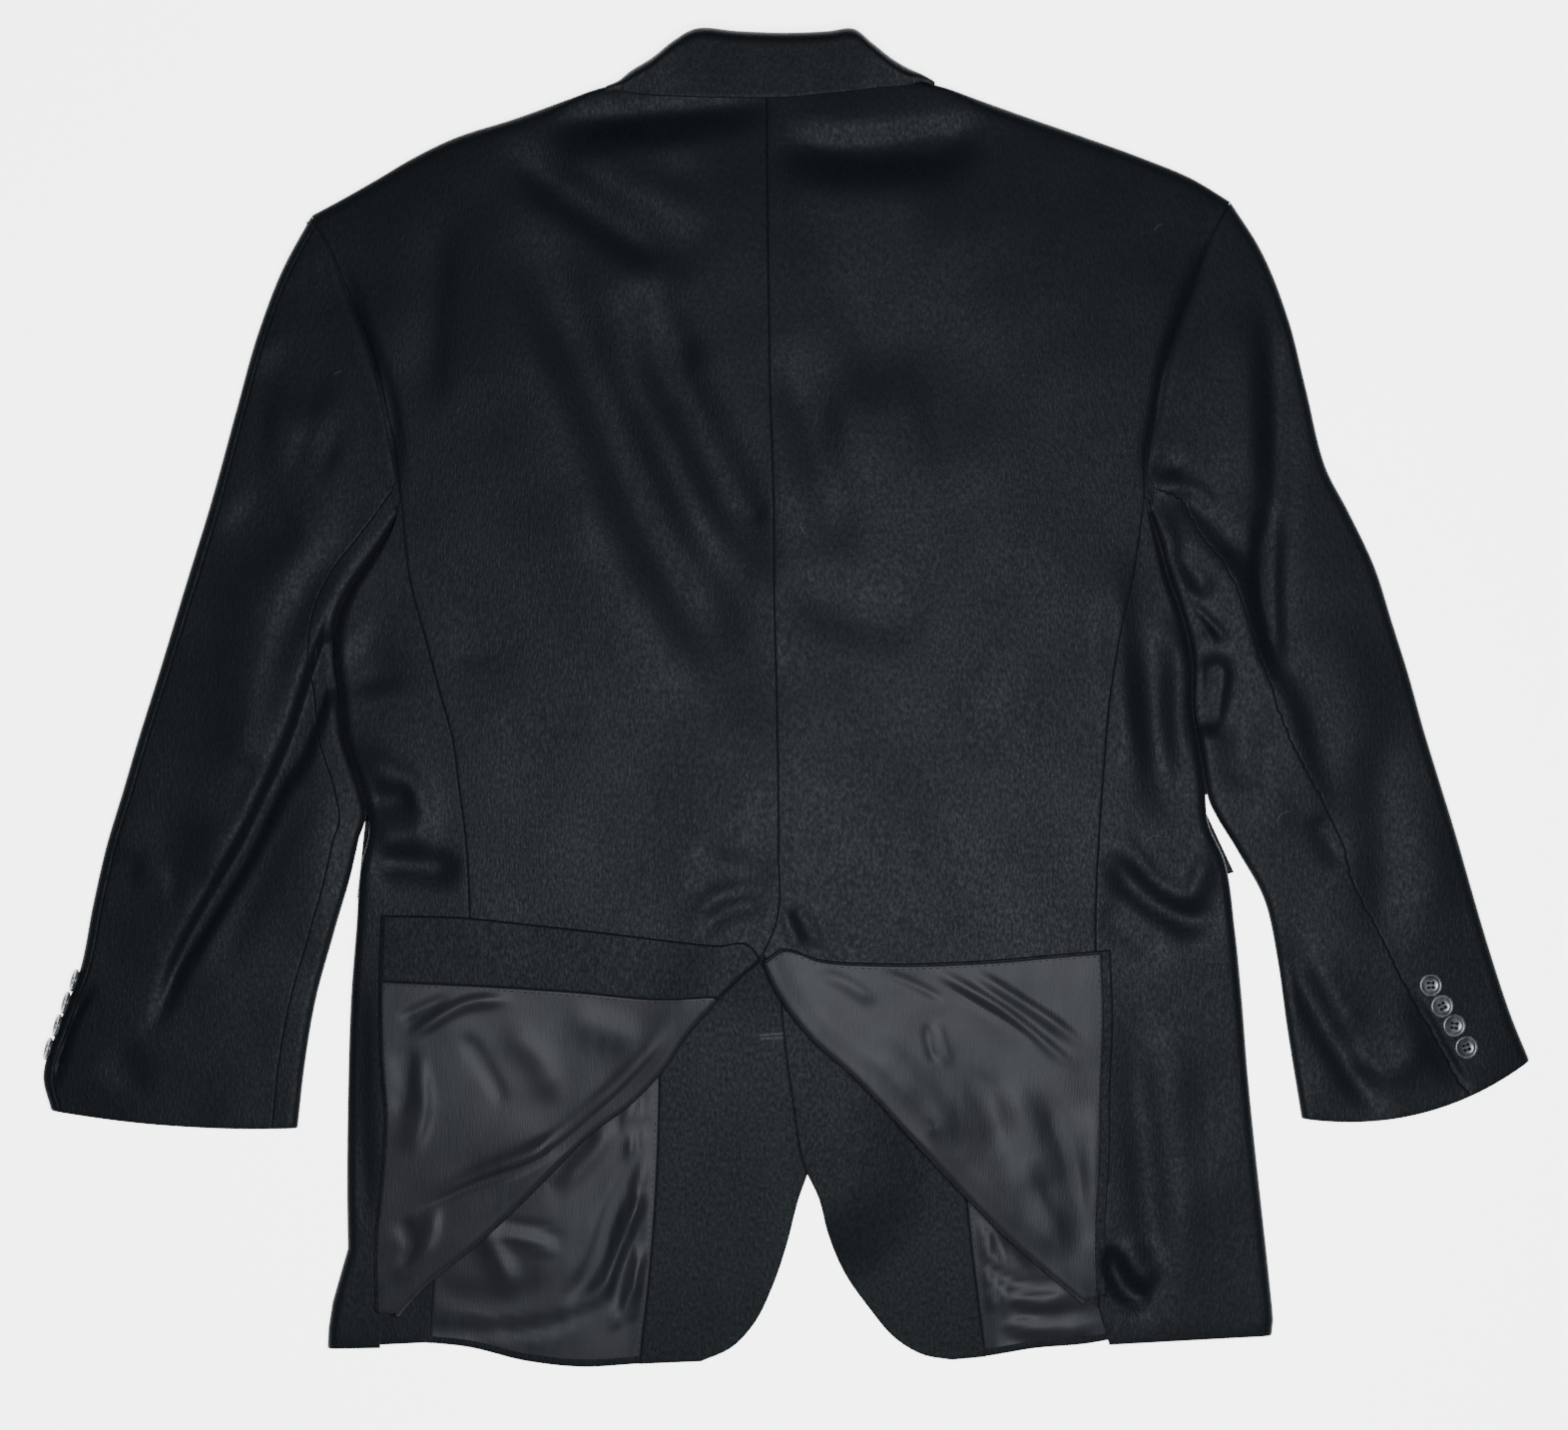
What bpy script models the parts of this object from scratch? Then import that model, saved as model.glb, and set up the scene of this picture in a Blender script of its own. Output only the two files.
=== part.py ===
"""A tailored wool blazer laid flat, face down, with its vent flaps turned up.

Tables are in millimetres: X to the right, Y towards the collar, Z up from the surface it lies on.
Left and right are the wearer's own.
"""

import math

import bpy
import numpy as np

MM = 0.001
SHIFT_X = 0.1
SHIFT_Y = 0.0

WOOL_WALL = 2.0
FLAP_WALL = 1.6
LINING_WALL = 1.0
SEAM_GAP = 0.3
LAYER_GAP = 0.35

FRONT_LIFT = 2.8
UNDER_WALL = 2.4
OVERLAP_LIFT = 6.6
EDGE_RADIUS = 6.5
SHOULDER_RADIUS = 7.0
SHOULDER_SEAM_HEIGHT = 5.6
NECK_RADIUS = 2.6

FLAP_ROLL = 1.9
FLAP_SETTLE = 34.0
FLAP_REST = 1.0

LINE_STEPS = 24
FOLD_STEPS = 14
ARMHOLE_ROWS = 9
SIDE_ROWS = 16
BACK_COLUMNS = 14
SIDE_COLUMNS = (4, 5, 3)
FACING_COLUMNS = 4
LINING_COLUMNS = 7
LEFT_TOP_COLUMNS = (10, 2)
RIGHT_TOP_COLUMNS = (6, 6)
SLEEVE_ROWS = 23
FLAP_ROWS = 13
FLAP_COLUMNS = 8
SHOULDER_STEPS = 3
EDGE_STEPS = 5
ROLL_STEPS = 5

FOLD_TAPER = 0.3
FOLD_GAP = 0.7
FOLD_END = 0.97
TIP_LENGTH = 60.0
TIP_START = 10.0
TIP_ROLL = 0.35
FACING_ROWS = 4
FACING_START = 0.66
LINING_START = 0.71
COLLAR_STATIONS = 16
COLLAR_STEPS = 4
COLLAR_HEIGHT = 10.5
BUTTON_SIDES = 12
HEM_BAND = 6.0
EDGE_BAND = 3.0
CROWN_EDGE = 0.8
BACK_NECK_SHARE = 0.36
LIFT_MARGIN = 20.0
LIFT_RAMP = 28.0
BACK_LIFT_RAMP = 64.0
LOFT_SOFTENING = 0.8
SHARP_ANGLE = math.radians(50)
MOST_STEEP = 1.4
NECK_BLEND = 0.12
EDGE_SHARE = 0.55
SLEEVE_EDGE_SHARE = 0.2
SEAM_FROM_OUTER = 0.1
SEAM_FROM_INNER = 0.06
SEAM_TRIES = 81

CUFF_BUTTON = 14.6
FRONT_BUTTON = 20.0
BUTTON_THICKNESS = 2.4
LEFT_BUTTON_HEIGHT = 6.9
LEFT_BUTTON_AXIS = (-0.85, 0.24, 0.45)
SEAT_STEPS = 6

WOOL_COLOUR = (0.022, 0.025, 0.028)
WOOL_ROUGHNESS = 0.85
LINING_COLOUR = (0.07, 0.07, 0.075)
LINING_ROUGHNESS = 0.35
HORN_COLOUR = (0.05, 0.05, 0.055)
HORN_ROUGHNESS = 0.25

# A button's section from the middle of its underside: share of its width, share of its thickness.
BUTTON_PROFILE = [
    (0.0, 0.0),
    (0.42, 0.0),
    (0.5, 0.35),
    (0.5, 0.7),
    (0.43, 1.0),
    (0.34, 0.72),
    (0.0, 0.6),
]

# Plan outlines (x, y).
CENTRE_SEAM = [
    (-12, 382), (-11, 283.5), (-10, 214), (-8, 142.5), (-7, 62), (-5.5, 0), (-4.5, -93),
    (-6, -139.5), (-13.5, -157),
]
LEFT_SHOULDER = [
    (-12, 383), (-54, 383), (-85, 382), (-109.5, 379.5), (-134.5, 371.5), (-168.5, 359.5),
    (-207, 347), (-231.5, 335), (-253.5, 322), (-274.5, 310), (-294, 299.5),
]
RIGHT_SHOULDER = [
    (-12, 383), (45.5, 384), (70, 384), (95, 379.5), (119, 371.5), (153, 359.5), (189, 347),
    (222, 335), (253, 322), (276, 308),
]
LEFT_ARMHOLE = [
    (-294, 299.5), (-284, 282), (-273.5, 258), (-265.5, 240.5), (-257.5, 222), (-251, 198),
    (-246, 174), (-241, 150.5), (-238.5, 124),
]
RIGHT_ARMHOLE = [
    (276, 308), (261, 282), (250.5, 255.5), (239.5, 228), (232, 204.5), (227, 175.5),
    (222.5, 152), (222.5, 125),
]
LEFT_SIDE_SEAM = [
    (-238.5, 124), (-232, 70), (-222, 33.5), (-214, 3.5), (-207, -21), (-202, -56),
    (-198, -87), (-195.5, -136.5), (-194.5, -186), (-194, -260.5), (-194, -335.5),
]
RIGHT_SIDE_SEAM = [
    (222.5, 125), (220, 105.5), (213.5, 65.5), (206.5, 36), (201, 4.5), (197, -43.5),
    (194, -87), (192, -142.5), (193, -192), (194.5, -254), (196.5, -316), (194, -377.5),
]
LEFT_BODY_EDGE = [
    (-240.5, 111), (-248.5, 98.5), (-259, 83.5), (-268.5, 69.5), (-277, 51), (-279.5, 28),
    (-276.5, 3.5), (-274, -21), (-263, -56), (-258, -80.5), (-263, -104), (-266, -142.5),
    (-269.5, -186), (-271.5, -248), (-272, -310), (-271.5, -341),
]
RIGHT_BODY_EDGE = [
    (225.5, 113.5), (231.5, 96), (237.5, 74.5), (246, 51), (252.5, 20), (252.5, -4.5),
    (256, -28), (260, -56), (261.5, -75.5), (272, -100.5), (278.5, -142.5), (282.5, -180),
    (287, -235.5), (292, -285), (297.5, -335), (302, -378),
]
LEFT_UNDER_SEAM = [
    (-238.5, 124), (-225, 62), (-219.5, 0), (-215, -62), (-213.5, -124), (-214.5, -186),
    (-216.5, -248), (-219, -335), (-222.5, -400),
]
RIGHT_UNDER_SEAM = [
    (222.5, 125), (211.5, 62), (207, 0), (207.5, -62), (215, -124), (224, -186), (231.5, -248),
    (239.5, -322.5), (246, -393.5),
]
LEFT_FACING_LINE = [
    (-131.5, 372.5), (-116, 248), (-97.5, 62), (-82, -124), (-78.5, -248), (-83, -341),
    (-90.5, -413),
]
RIGHT_FACING_LINE = [
    (132, 367.5), (123, 248), (112, 62), (106, -124), (108.5, -260.5), (114.5, -331),
    (124, -408.5),
]
LEFT_FOLD = [
    (-13.5, -157), (-26, -167), (-44, -184), (-64.5, -206.5), (-78.5, -227), (-98.5, -248),
    (-123, -266.5), (-149, -292.5), (-164.5, -308), (-194, -335.5), (-227, -362.5),
    (-249, -387.5),
]
RIGHT_FOLD = [
    (-13.5, -157), (-2.5, -180), (17.5, -206.5), (43, -229.5), (64, -251), (83.5, -273),
    (111.5, -303), (141.5, -333), (171, -358.5), (194, -377.5),
]
LEFT_FLAP_TOP = [
    (-22.5, -152), (-41, -152.5), (-77, -149), (-113.5, -144.5), (-150, -140.5),
    (-204.5, -135), (-250, -134),
]
LEFT_FLAP_HEM = [
    (-250, -134), (-251.5, -173.5), (-251, -223), (-248.5, -260.5), (-250.5, -297.5),
    (-254, -335), (-253.5, -379.5),
]
RIGHT_FLAP_TOP = [
    (-3.5, -155), (20.5, -161), (54, -163.5), (103.5, -163), (137, -161), (170, -158),
    (201, -155.5),
]
RIGHT_FLAP_HEM = [
    (201, -155.5), (202.5, -194.5), (201, -244.5), (200.5, -285), (198, -322.5), (198, -369.5),
]

# Side panel below the turned-up flap: seam x, y, edge x, y.
LEFT_SIDE_FOOT = [
    (-217.5, -354, -276.5, -358.5),
    (-242, -377.5, -281, -374.5),
    (-251, -393, -283.5, -390.5),
    (-251, -402.5, -284, -403),
]
RIGHT_SIDE_FOOT = [
    (197, -388, 302.5, -385.5),
    (200.5, -400.5, 301.5, -395),
]

# How far the back stands off the fronts it lies on: y, at the middle, at the sides.
BODY_LOFT = [
    (395, 2.4, 3.4),
    (330, 3.0, 3.5),
    (250, 3.2, 3.5),
    (60, 3.0, 3.3),
    (-60, 3.1, 3.3),
    (-160, 3.2, 3.4),
    (-430, 3.4, 3.4),
]
BODY_HALF_WIDTH = 265.0

# Largest folds: half width, height (below zero is a trough), then the path (x, y).
BODY_FOLDS = [
    (10, -2.2, (-148, 360), (-103.5, 359), (-46.5, 363.5)),
    (13, 1.4, (-150, 341), (-103.5, 342), (-54, 347)),
    (11, -2.4, (5, 345.5), (57.5, 341), (112, 343.5)),
    (15, 1.6, (-4.5, 315), (39, 316), (73, 321)),
    (11, -2.2, (-178, 348.5), (-156, 323.5), (-140.5, 310), (-112, 282)),
    (14, -2.6, (-170.5, 300.5), (-154.5, 261), (-137.5, 217), (-114.5, 149), (-85, 87), (-54, 31),
     (-18, -28)),
    (14, -2, (-116, 300.5), (-85, 242), (-60, 180), (-32, 124), (-13.5, 80.5)),
    (14, 1.5, (-144, 288.5), (-116, 229.5), (-85, 161), (-54, 99), (-26, 37)),
    (12, -2, (-3, 207.5), (11, 142.5), (28, 62)),
    (40, -2, (33, 217), (82.5, 195.5), (138.5, 204.5)),
    (9, 1.6, (-60, -119.5), (-30.5, -127.5), (-7, -142.5)),
    (9, -2, (-269.5, -62), (-241, -62)),
    (10, -2.6, (-257.5, -98), (-229, -111), (-199, -105.5)),
    (13, 1.8, (234.5, 20), (241, -18.5), (238.5, -62)),
    (10, -3.2, (196.5, -100.5), (222.5, -127.5), (251, -133.5), (269.5, -114.5)),
]

# Left sleeve, a row for each section: outer edge x, y, inner edge x, y, share of the armhole's
# curve, bow, loft.
LEFT_SLEEVE = [
    (-294, 299.5, -240, 124, 1.0, 0, 3.5),
    (-312, 266.5, -245.5, 114, 0.75, 0, 3.5),
    (-328, 224.5, -253, 103, 0.45, 0, 3.5),
    (-340.5, 180, -263.5, 85.5, 0.2, 0, 3.5),
    (-355.5, 125, -271, 70.5, 0, 0, 3.5),
    (-372.5, 69.5, -279.5, 50, 0, 0, 3.5),
    (-389.5, 13.5, -281, 16, 0, 0, 3.5),
    (-402.5, -28, -277.5, -17.5, 0, 0, 3.5),
    (-411, -57, -270, -44, 0, 0, 3.5),
    (-421.5, -92, -263, -70.5, 0, 0, 3.5),
    (-429.5, -127, -268, -103, 0, 0, 3.5),
    (-437.5, -167.5, -279, -142.5, 0, 0, 3.5),
    (-450.5, -201.5, -291, -186, 0, 0, 3.6),
    (-460.5, -233, -298, -227, 0, 0, 3.8),
    (-455.5, -255.5, -302.5, -266.5, 0, -4, 3.8),
]
# Right sleeve, in the same columns.
RIGHT_SLEEVE = [
    (276, 308, 224, 127.5, 1.0, 0, 3.5),
    (294.5, 279, 229, 119, 0.75, 0, 3.5),
    (312, 235.5, 234.5, 107.5, 0.45, 0, 3.5),
    (323, 192, 238.5, 93, 0.2, 0, 3.5),
    (335.5, 142.5, 241, 72, 0, 0, 3.5),
    (349, 116.5, 248.5, 51, 0, 0, 3.5),
    (365, 83, 253.5, 31, 0, 0, 3.5),
    (376.5, 47, 256, 5, 0, 0, 3.5),
    (387, 13.5, 257.5, -20, 0, 0, 3.5),
    (395.5, -17.5, 261, -42, 0, 0, 3.5),
    (406.5, -53.5, 264.5, -67, 0, 0, 3.5),
    (416, -84.5, 280, -94, 0, 0, 3.5),
    (426, -119.5, 296.5, -124, 0, 0, 3.5),
    (436.5, -155, 305, -161, 0, 0, 3.6),
    (449, -193.5, 311, -204.5, 0, 4, 3.7),
    (461.5, -224.5, 320, -260.5, 0, 15, 3.8),
]
LEFT_SLEEVE_FOLDS = [
    (10, -6.5, (-288.5, 17.5), (-307, -23), (-323, -66.5), (-349.5, -119.5), (-380.5, -181),
     (-409, -217), (-443.5, -225.5)),
    (15, 2.6, (-271, 111.5), (-305, 82), (-319.5, 43.5), (-337.5, -13), (-361, -71.5),
     (-388.5, -133.5)),
    (15, 1.5, (-291, -56), (-308, -99), (-333, -161), (-367, -211)),
    (14, -2.4, (-325.5, 176.5), (-299, 136.5), (-308, 90)),
    (16, 1.5, (-283.5, 248), (-269.5, 198.5), (-263.5, 155)),
    (11, -1.8, (-423, -93), (-388.5, -111.5), (-361, -99)),
    (8, -3.4, (-261, 82), (-275, 50), (-285, 22), (-285, -8)),
]
RIGHT_SLEEVE_FOLDS = [
    (11, -4, (297, 263.5), (301.5, 199), (305.5, 130), (299.5, 68), (306.5, 0)),
    (16, 1.8, (265.5, 279), (256, 217), (250, 161)),
    (8, -4, (230, 131.5), (247.5, 126), (261.5, 111.5), (274.5, 96)),
    (9, 2, (225, 142.5), (256, 133.5), (281, 99), (300.5, 37), (318, -18.5), (346, -74.5)),
    (9, -3.4, (241, 68), (265.5, 46.5), (281, 28)),
    (12, -2.6, (294.5, 0), (308, -56), (324.5, -105.5), (331.5, -142.5)),
    (10, -3, (310, -157), (329, -193.5), (349, -224.5), (367.5, -250.5)),
    (11, -2.2, (366.5, -56), (370, -111.5), (375, -176.5)),
    (18, 2, (346, 87), (361.5, 31), (380, -37), (392.5, -99)),
    (9, -4.2, (273, 36), (267, 8), (260, -24)),
]
RIGHT_BACK_SEAM = [
    (231.5, 129), (245, 123), (256, 103.5), (269.5, 87), (279.5, 68), (289.5, 41), (299.5, 11),
    (308, -15), (320.5, -40.5), (334, -65.5), (344.5, -90), (353, -116.5), (366.5, -142.5),
    (386.5, -182.5), (403, -211), (418, -238), (423.5, -245.5),
]
FRONT_SEAM_INSET = 18.0

# Fronts, on the underside: inner edge from the neck down the roll line, round the cutaway.
LEFT_FRONT_EDGE = [
    (-93.5, 377), (-60, 229.5), (-26, 62), (6, -93), (15, -161), (15, -248), (14.5, -292.5),
    (8.5, -310), (0.5, -340.5), (-8.5, -366.5), (-19, -387.5), (-33.5, -403), (-52.5, -411.5),
]
RIGHT_FRONT_EDGE = [
    (77.5, 377), (46.5, 229.5), (20.5, 62), (0.5, -93), (-3, -161), (-2, -198), (4.5, -249),
    (12.5, -292.5), (20.5, -309.5), (26, -331), (36.5, -356.5), (51.5, -378), (69, -398),
    (85.5, -407.5), (103, -410.5),
]
LEFT_FRONT_HEM = [
    (-52.5, -411.5), (-88.5, -413), (-128.5, -415), (-160.5, -411.5), (-198.5, -402.5),
    (-222.5, -400),
]
RIGHT_FRONT_HEM = [
    (103, -410.5), (124, -408.5), (154.5, -403.5), (184, -401), (218, -395.5), (246, -393.5),
]

LEFT_LAPEL = [
    (-76.5, 307), (6, -90), (-32, 0), (-91, 111.5), (-148, 229.5), (-117, 276),
]
RIGHT_LAPEL = [
    (61.5, 307), (13, -56), (39, 0), (95, 111.5), (150.5, 229.5), (119.5, 276),
]
LEFT_POCKET_FLAP = [
    (-260.5, -71.5), (-122, -93), (-121, -136.5), (-129.5, -146.5), (-266, -124),
]
RIGHT_POCKET_FLAP = [
    (260.5, -69.5), (126, -93), (124.5, -136.5), (133.5, -146.5), (278.5, -108),
]

# Collar stations: x, then y of the fall's edge, of the top and of the stand's end, then the height
# of the lower arm at the top and at its end.
COLLAR = [
    (-103.5, 376.5, 383, 376.5, 0.0, 0.0),
    (-97.5, 375, 388, 375, 0.0, 0.0),
    (-83, 373, 397, 373, 0.0, 0.0),
    (-69, 372.5, 408, 372.5, 0.3, 0.3),
    (-56, 372, 415, 382, 1.0, 1.6),
    (-29, 371.5, 413.5, 384.5, 1.4, 3.4),
    (-2, 371.5, 412.5, 385, 1.4, 3.4),
    (26.5, 374, 413.5, 385.5, 1.4, 3.4),
    (42, 375.5, 415, 383, 1.0, 1.6),
    (53.5, 377, 406.5, 377, 0.3, 0.3),
    (67, 378, 396, 378, 0.0, 0.0),
    (76.5, 379.5, 390.5, 379.5, 0.0, 0.0),
    (84.5, 381.5, 387, 381.5, 0.0, 0.0),
]
LEFT_LEAF = [
    (-105.5, 371.5), (-67.5, 369), (-70, 323.5), (-116, 289), (-139.5, 274), (-148, 316),
    (-129.5, 356.5),
]
RIGHT_LEAF = [
    (86, 373), (50, 371.5), (55, 323.5), (101, 289), (124.5, 274), (133.5, 316), (111, 358.5),
]
LEFT_VENT_FACING = [
    (-44, -184), (-77, -186), (-131.5, -181.5), (-186, -178), (-250, -175.5),
]
OVERLAP = [
    (5, -71.5), (15, -80.5), (15, -291.5), (9.5, -279), (2, -242), (-2.5, -186),
]
UPPER_BUTTON = [
    (-4.5, -98), (19, -98), (19, -125), (-4.5, -125),
]
SLEEVE_BUTTONS_RIGHT = [
    (399.5, -177.5), (406.5, -190.5), (414, -202.5), (421.5, -216),
]
SLEEVE_BUTTONS_LEFT = [
    (-439.5, -175), (-446, -188.5), (-451.5, -202.5), (-457, -217),
]
# The front that each front button lies against, and its place.
FRONT_BUTTONS = [
    ("left", 7.5, -111.5),
    ("right", 29, -209.5),
]


def smooth(value):
    value = np.clip(value, 0.0, 1.0)
    return value * value * (3.0 - 2.0 * value)


def lengths(points):
    return np.concatenate([[0.0], np.cumsum(np.linalg.norm(np.diff(points, axis=0), axis=1))])


def resampled(points, stops):
    """Points of a fine line at the given shares of its length."""
    run = lengths(points)
    at = np.asarray(stops) * run[-1]
    return np.column_stack([np.interp(at, run, points[:, axis]) for axis in range(points.shape[1])])


def fine_line(points):
    """A smooth line through the points, with the same number of steps between each two."""
    points = np.array(points, float)
    if len(points) == 2:
        return resampled(points, np.linspace(0, 1, LINE_STEPS + 1))
    chord = lengths(points)
    slope = np.gradient(points, chord, axis=0)
    fine = np.linspace(0, chord[-1], LINE_STEPS * (len(points) - 1) + 1)
    index = np.clip(np.searchsorted(chord, fine, side="right") - 1, 0, len(points) - 2)
    span = (chord[index + 1] - chord[index])[:, None]
    part = (fine - chord[index])[:, None] / span
    return (
        (2 * part**3 - 3 * part**2 + 1) * points[index]
        + (part**3 - 2 * part**2 + part) * span * slope[index]
        + (3 * part**2 - 2 * part**3) * points[index + 1]
        + (part**3 - part**2) * span * slope[index + 1]
    )


def curve(points, count):
    return resampled(fine_line(points), np.linspace(0, 1, count))


def unit(vectors):
    return vectors / np.maximum(np.linalg.norm(vectors, axis=-1, keepdims=True), 1e-9)


def square_on(line):
    """Unit vectors at right angles to a plan line, to the left of its direction."""
    along = unit(np.gradient(line, axis=0))
    return np.stack([-along[:, 1], along[:, 0]], axis=1)


def nearest(points, line):
    """Distance to a plan line and share of its length at the nearest place, for each point."""
    start, step = line[:-1], np.diff(line, axis=0)
    away = points[:, None, :] - start[None]
    share = np.clip((away * step).sum(-1) / np.maximum((step * step).sum(-1), 1e-9), 0, 1)
    gap = np.linalg.norm(away - share[..., None] * step, axis=-1)
    best = gap.argmin(axis=1)
    rows = np.arange(len(points))
    run = lengths(line)
    along = run[best] + share[rows, best] * (run[best + 1] - run[best])
    return gap[rows, best], along / run[-1]


def inside(points, outline):
    """Whether each plan point is inside a closed outline."""
    found = np.zeros(len(points), bool)
    for (ax, ay), (bx, by) in zip(outline, np.roll(outline, -1, axis=0)):
        crosses = (ay > points[:, 1]) != (by > points[:, 1])
        level = by - ay if by != ay else 1e-9
        found ^= crosses & (points[:, 0] < (bx - ax) * (points[:, 1] - ay) / level + ax)
    return found


def relief(points, folds):
    """Height that the folds add at each plan point."""
    total = np.zeros(len(points))
    for width, height, *path in folds:
        gap, share = nearest(points, curve(path, FOLD_STEPS))
        taper = smooth(share / FOLD_TAPER) * smooth((1 - share) / FOLD_TAPER)
        total += height * taper * np.exp(-((gap / width) ** 2))
    return total


def covered(points, outline, level, ramp=LIFT_RAMP):
    """Height that a layer of the given outline lifts the cloth above it to."""
    outline = np.array(outline, float)
    line = np.vstack([outline, outline[:1]])
    gap, _ = nearest(points, line)
    gap[inside(points, outline)] = 0.0
    return level * (1 - smooth((gap - LIFT_MARGIN) / ramp))


def over_fronts(loft):
    """Height above the fronts' outer face of cloth that lies on them, at the given loft or at none."""
    return 2 * WOOL_WALL + LAYER_GAP + (loft + np.sqrt(loft**2 + LOFT_SOFTENING**2)) / 2


def body_height(points):
    """Height of the back's outer face."""
    level, middle, sides = np.array(BODY_LOFT[::-1], float).T
    low = np.interp(points[:, 1], level, middle)
    high = np.interp(points[:, 1], level, sides)
    across = np.abs(points[:, 0] / BODY_HALF_WIDTH)
    loft = low + (high - low) * across**2 + relief(points, BODY_FOLDS)
    return overlap_height(points, BACK_LIFT_RAMP) + over_fronts(loft)


def under_height(points, ramp=LIFT_RAMP):
    """Height of the fronts' outer face: raised over lapels, flaps and buttons, else on the surface."""
    layers = [
        UPPER_BUTTON, LEFT_LAPEL, RIGHT_LAPEL, LEFT_LEAF, RIGHT_LEAF, LEFT_POCKET_FLAP,
        RIGHT_POCKET_FLAP,
    ]
    return np.max([covered(points, outline, FRONT_LIFT, ramp) for outline in layers], axis=0)


def overlap_height(points, ramp=LIFT_RAMP):
    """The same for the right front, which passes over the edge of the left one."""
    return np.maximum(under_height(points, ramp), covered(points, OVERLAP, OVERLAP_LIFT, ramp))


def steepness(height, points):
    """How much longer a vertical cut through the cloth is than its thickness."""
    here = height(points)
    slopes = [height(points + step) - here for step in np.eye(2)]
    return np.minimum(np.sqrt(1 + slopes[0] ** 2 + slopes[1] ** 2), MOST_STEEP)


def patch(top, bottom, inner, outer):
    """Plan grid between four edges: columns run from inner to outer, rows from top to bottom."""
    across = np.linspace(0, 1, len(top))[None, :, None]
    down = np.linspace(0, 1, len(inner))[:, None, None]
    ruled = (1 - down) * top[None] + down * bottom[None]
    ruled = ruled + (1 - across) * inner[:, None] + across * outer[:, None]
    corners = (1 - down) * ((1 - across) * top[0] + across * top[-1])
    corners = corners + down * ((1 - across) * bottom[0] + across * bottom[-1])
    return ruled - corners


def raised(plan, height, wall=0.0):
    """Grid of 3-D points over a plan grid, at a height function, less a wall measured square to it."""
    flat = plan.reshape(-1, 2)
    level = height(flat)
    if wall:
        level = level - wall * steepness(height, flat)
    return np.concatenate([plan, level.reshape(plan.shape[:2] + (1,))], axis=2)


def drawn_in(outer, inner, edges, gap=SEAM_GAP / 2):
    """Pulls the named edges of a wall in by half a seam gap, in plan."""
    places = {"top": (0, 1, 0), "bottom": (-1, -2, 0), "first": (0, 1, 1), "last": (-1, -2, 1)}
    for edge in edges:
        at, beside, axis = places[edge]
        rim = np.take(outer, at, axis)[:, :2]
        step = unit(np.take(outer, beside, axis)[:, :2] - rim) * gap
        for grid in (outer, inner):
            if axis:
                grid[:, at, :2] += step
            else:
                grid[at, :, :2] += step


def finish_mesh(name, points, faces, material):
    """Makes one closed, outward-facing mesh object."""
    points = np.array(points, float)
    faces = np.array(faces)
    corners = points[faces]
    volume = np.einsum("ij,ij->i", corners[:, 0], np.cross(corners[:, 1], corners[:, 2])).sum()
    if volume < 0:
        faces = faces[:, ::-1]
    points = (points + (SHIFT_X, SHIFT_Y, 0.0)) * MM
    mesh = bpy.data.meshes.new(name)
    mesh.from_pydata(points.tolist(), [], faces.tolist())
    mesh.materials.append(material)
    mesh.shade_smooth()
    mesh.set_sharp_from_angle(angle=SHARP_ANGLE)
    piece = bpy.data.objects.new(name, mesh)
    bpy.context.scene.collection.objects.link(piece)
    return piece


def wall(name, outer, inner, material):
    """A cloth wall between two grids of points, closed by a rim all round."""
    rows, columns = outer.shape[:2]
    points = np.concatenate([outer.reshape(-1, 3), inner.reshape(-1, 3)])
    index = np.arange(rows * columns).reshape(rows, columns)
    a, b, c, d = index[:-1, :-1], index[:-1, 1:], index[1:, 1:], index[1:, :-1]
    faces = [np.stack([a, b, c], -1).reshape(-1, 3), np.stack([a, c, d], -1).reshape(-1, 3)]
    faces += [face[:, ::-1] + rows * columns for face in faces]
    for line in (index[0, ::-1], index[:, 0], index[-1], index[::-1, -1]):
        near, far = line[:-1], line[1:]
        low, high = near + rows * columns, far + rows * columns
        faces.append(np.stack([near, far, high], -1))
        faces.append(np.stack([near, high, low], -1))
    return finish_mesh(name, points, np.concatenate(faces), material)


def cloth(name, colour, roughness):
    material = bpy.data.materials.new(name)
    material.use_nodes = True
    shader = material.node_tree.nodes["Principled BSDF"]
    shader.inputs["Base Color"].default_value = (*colour, 1.0)
    shader.inputs["Roughness"].default_value = roughness
    shader.inputs["Metallic"].default_value = 0.0
    return material


def shoulder_start(outline, count, neck_share):
    """The line where the shoulder's round edge starts, with its outward direction and radius."""
    fine = fine_line(outline)
    square = square_on(fine)
    square *= np.sign(square[:, 1:2])
    share = np.linspace(0, 1, count)
    edge = resampled(fine, share)
    at = share * lengths(fine)[-1]
    outward = np.column_stack([np.interp(at, lengths(fine), square[:, axis]) for axis in range(2)])
    radius = NECK_RADIUS + (SHOULDER_RADIUS - NECK_RADIUS) * smooth((share - neck_share) / NECK_BLEND)
    return edge - outward * radius[:, None], outward, radius


def armhole_line(outline, start):
    """Fine line of the armhole from the shoulder's tip, through the start of the shoulder's round edge."""
    return fine_line([outline[0], tuple(start), *outline[1:]])


def below(line, start):
    """The part of a fine line that lies past the point nearest to start."""
    first = np.linalg.norm(line - start, axis=1).argmin()
    return np.vstack([start, line[first + 1 :]])


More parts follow.
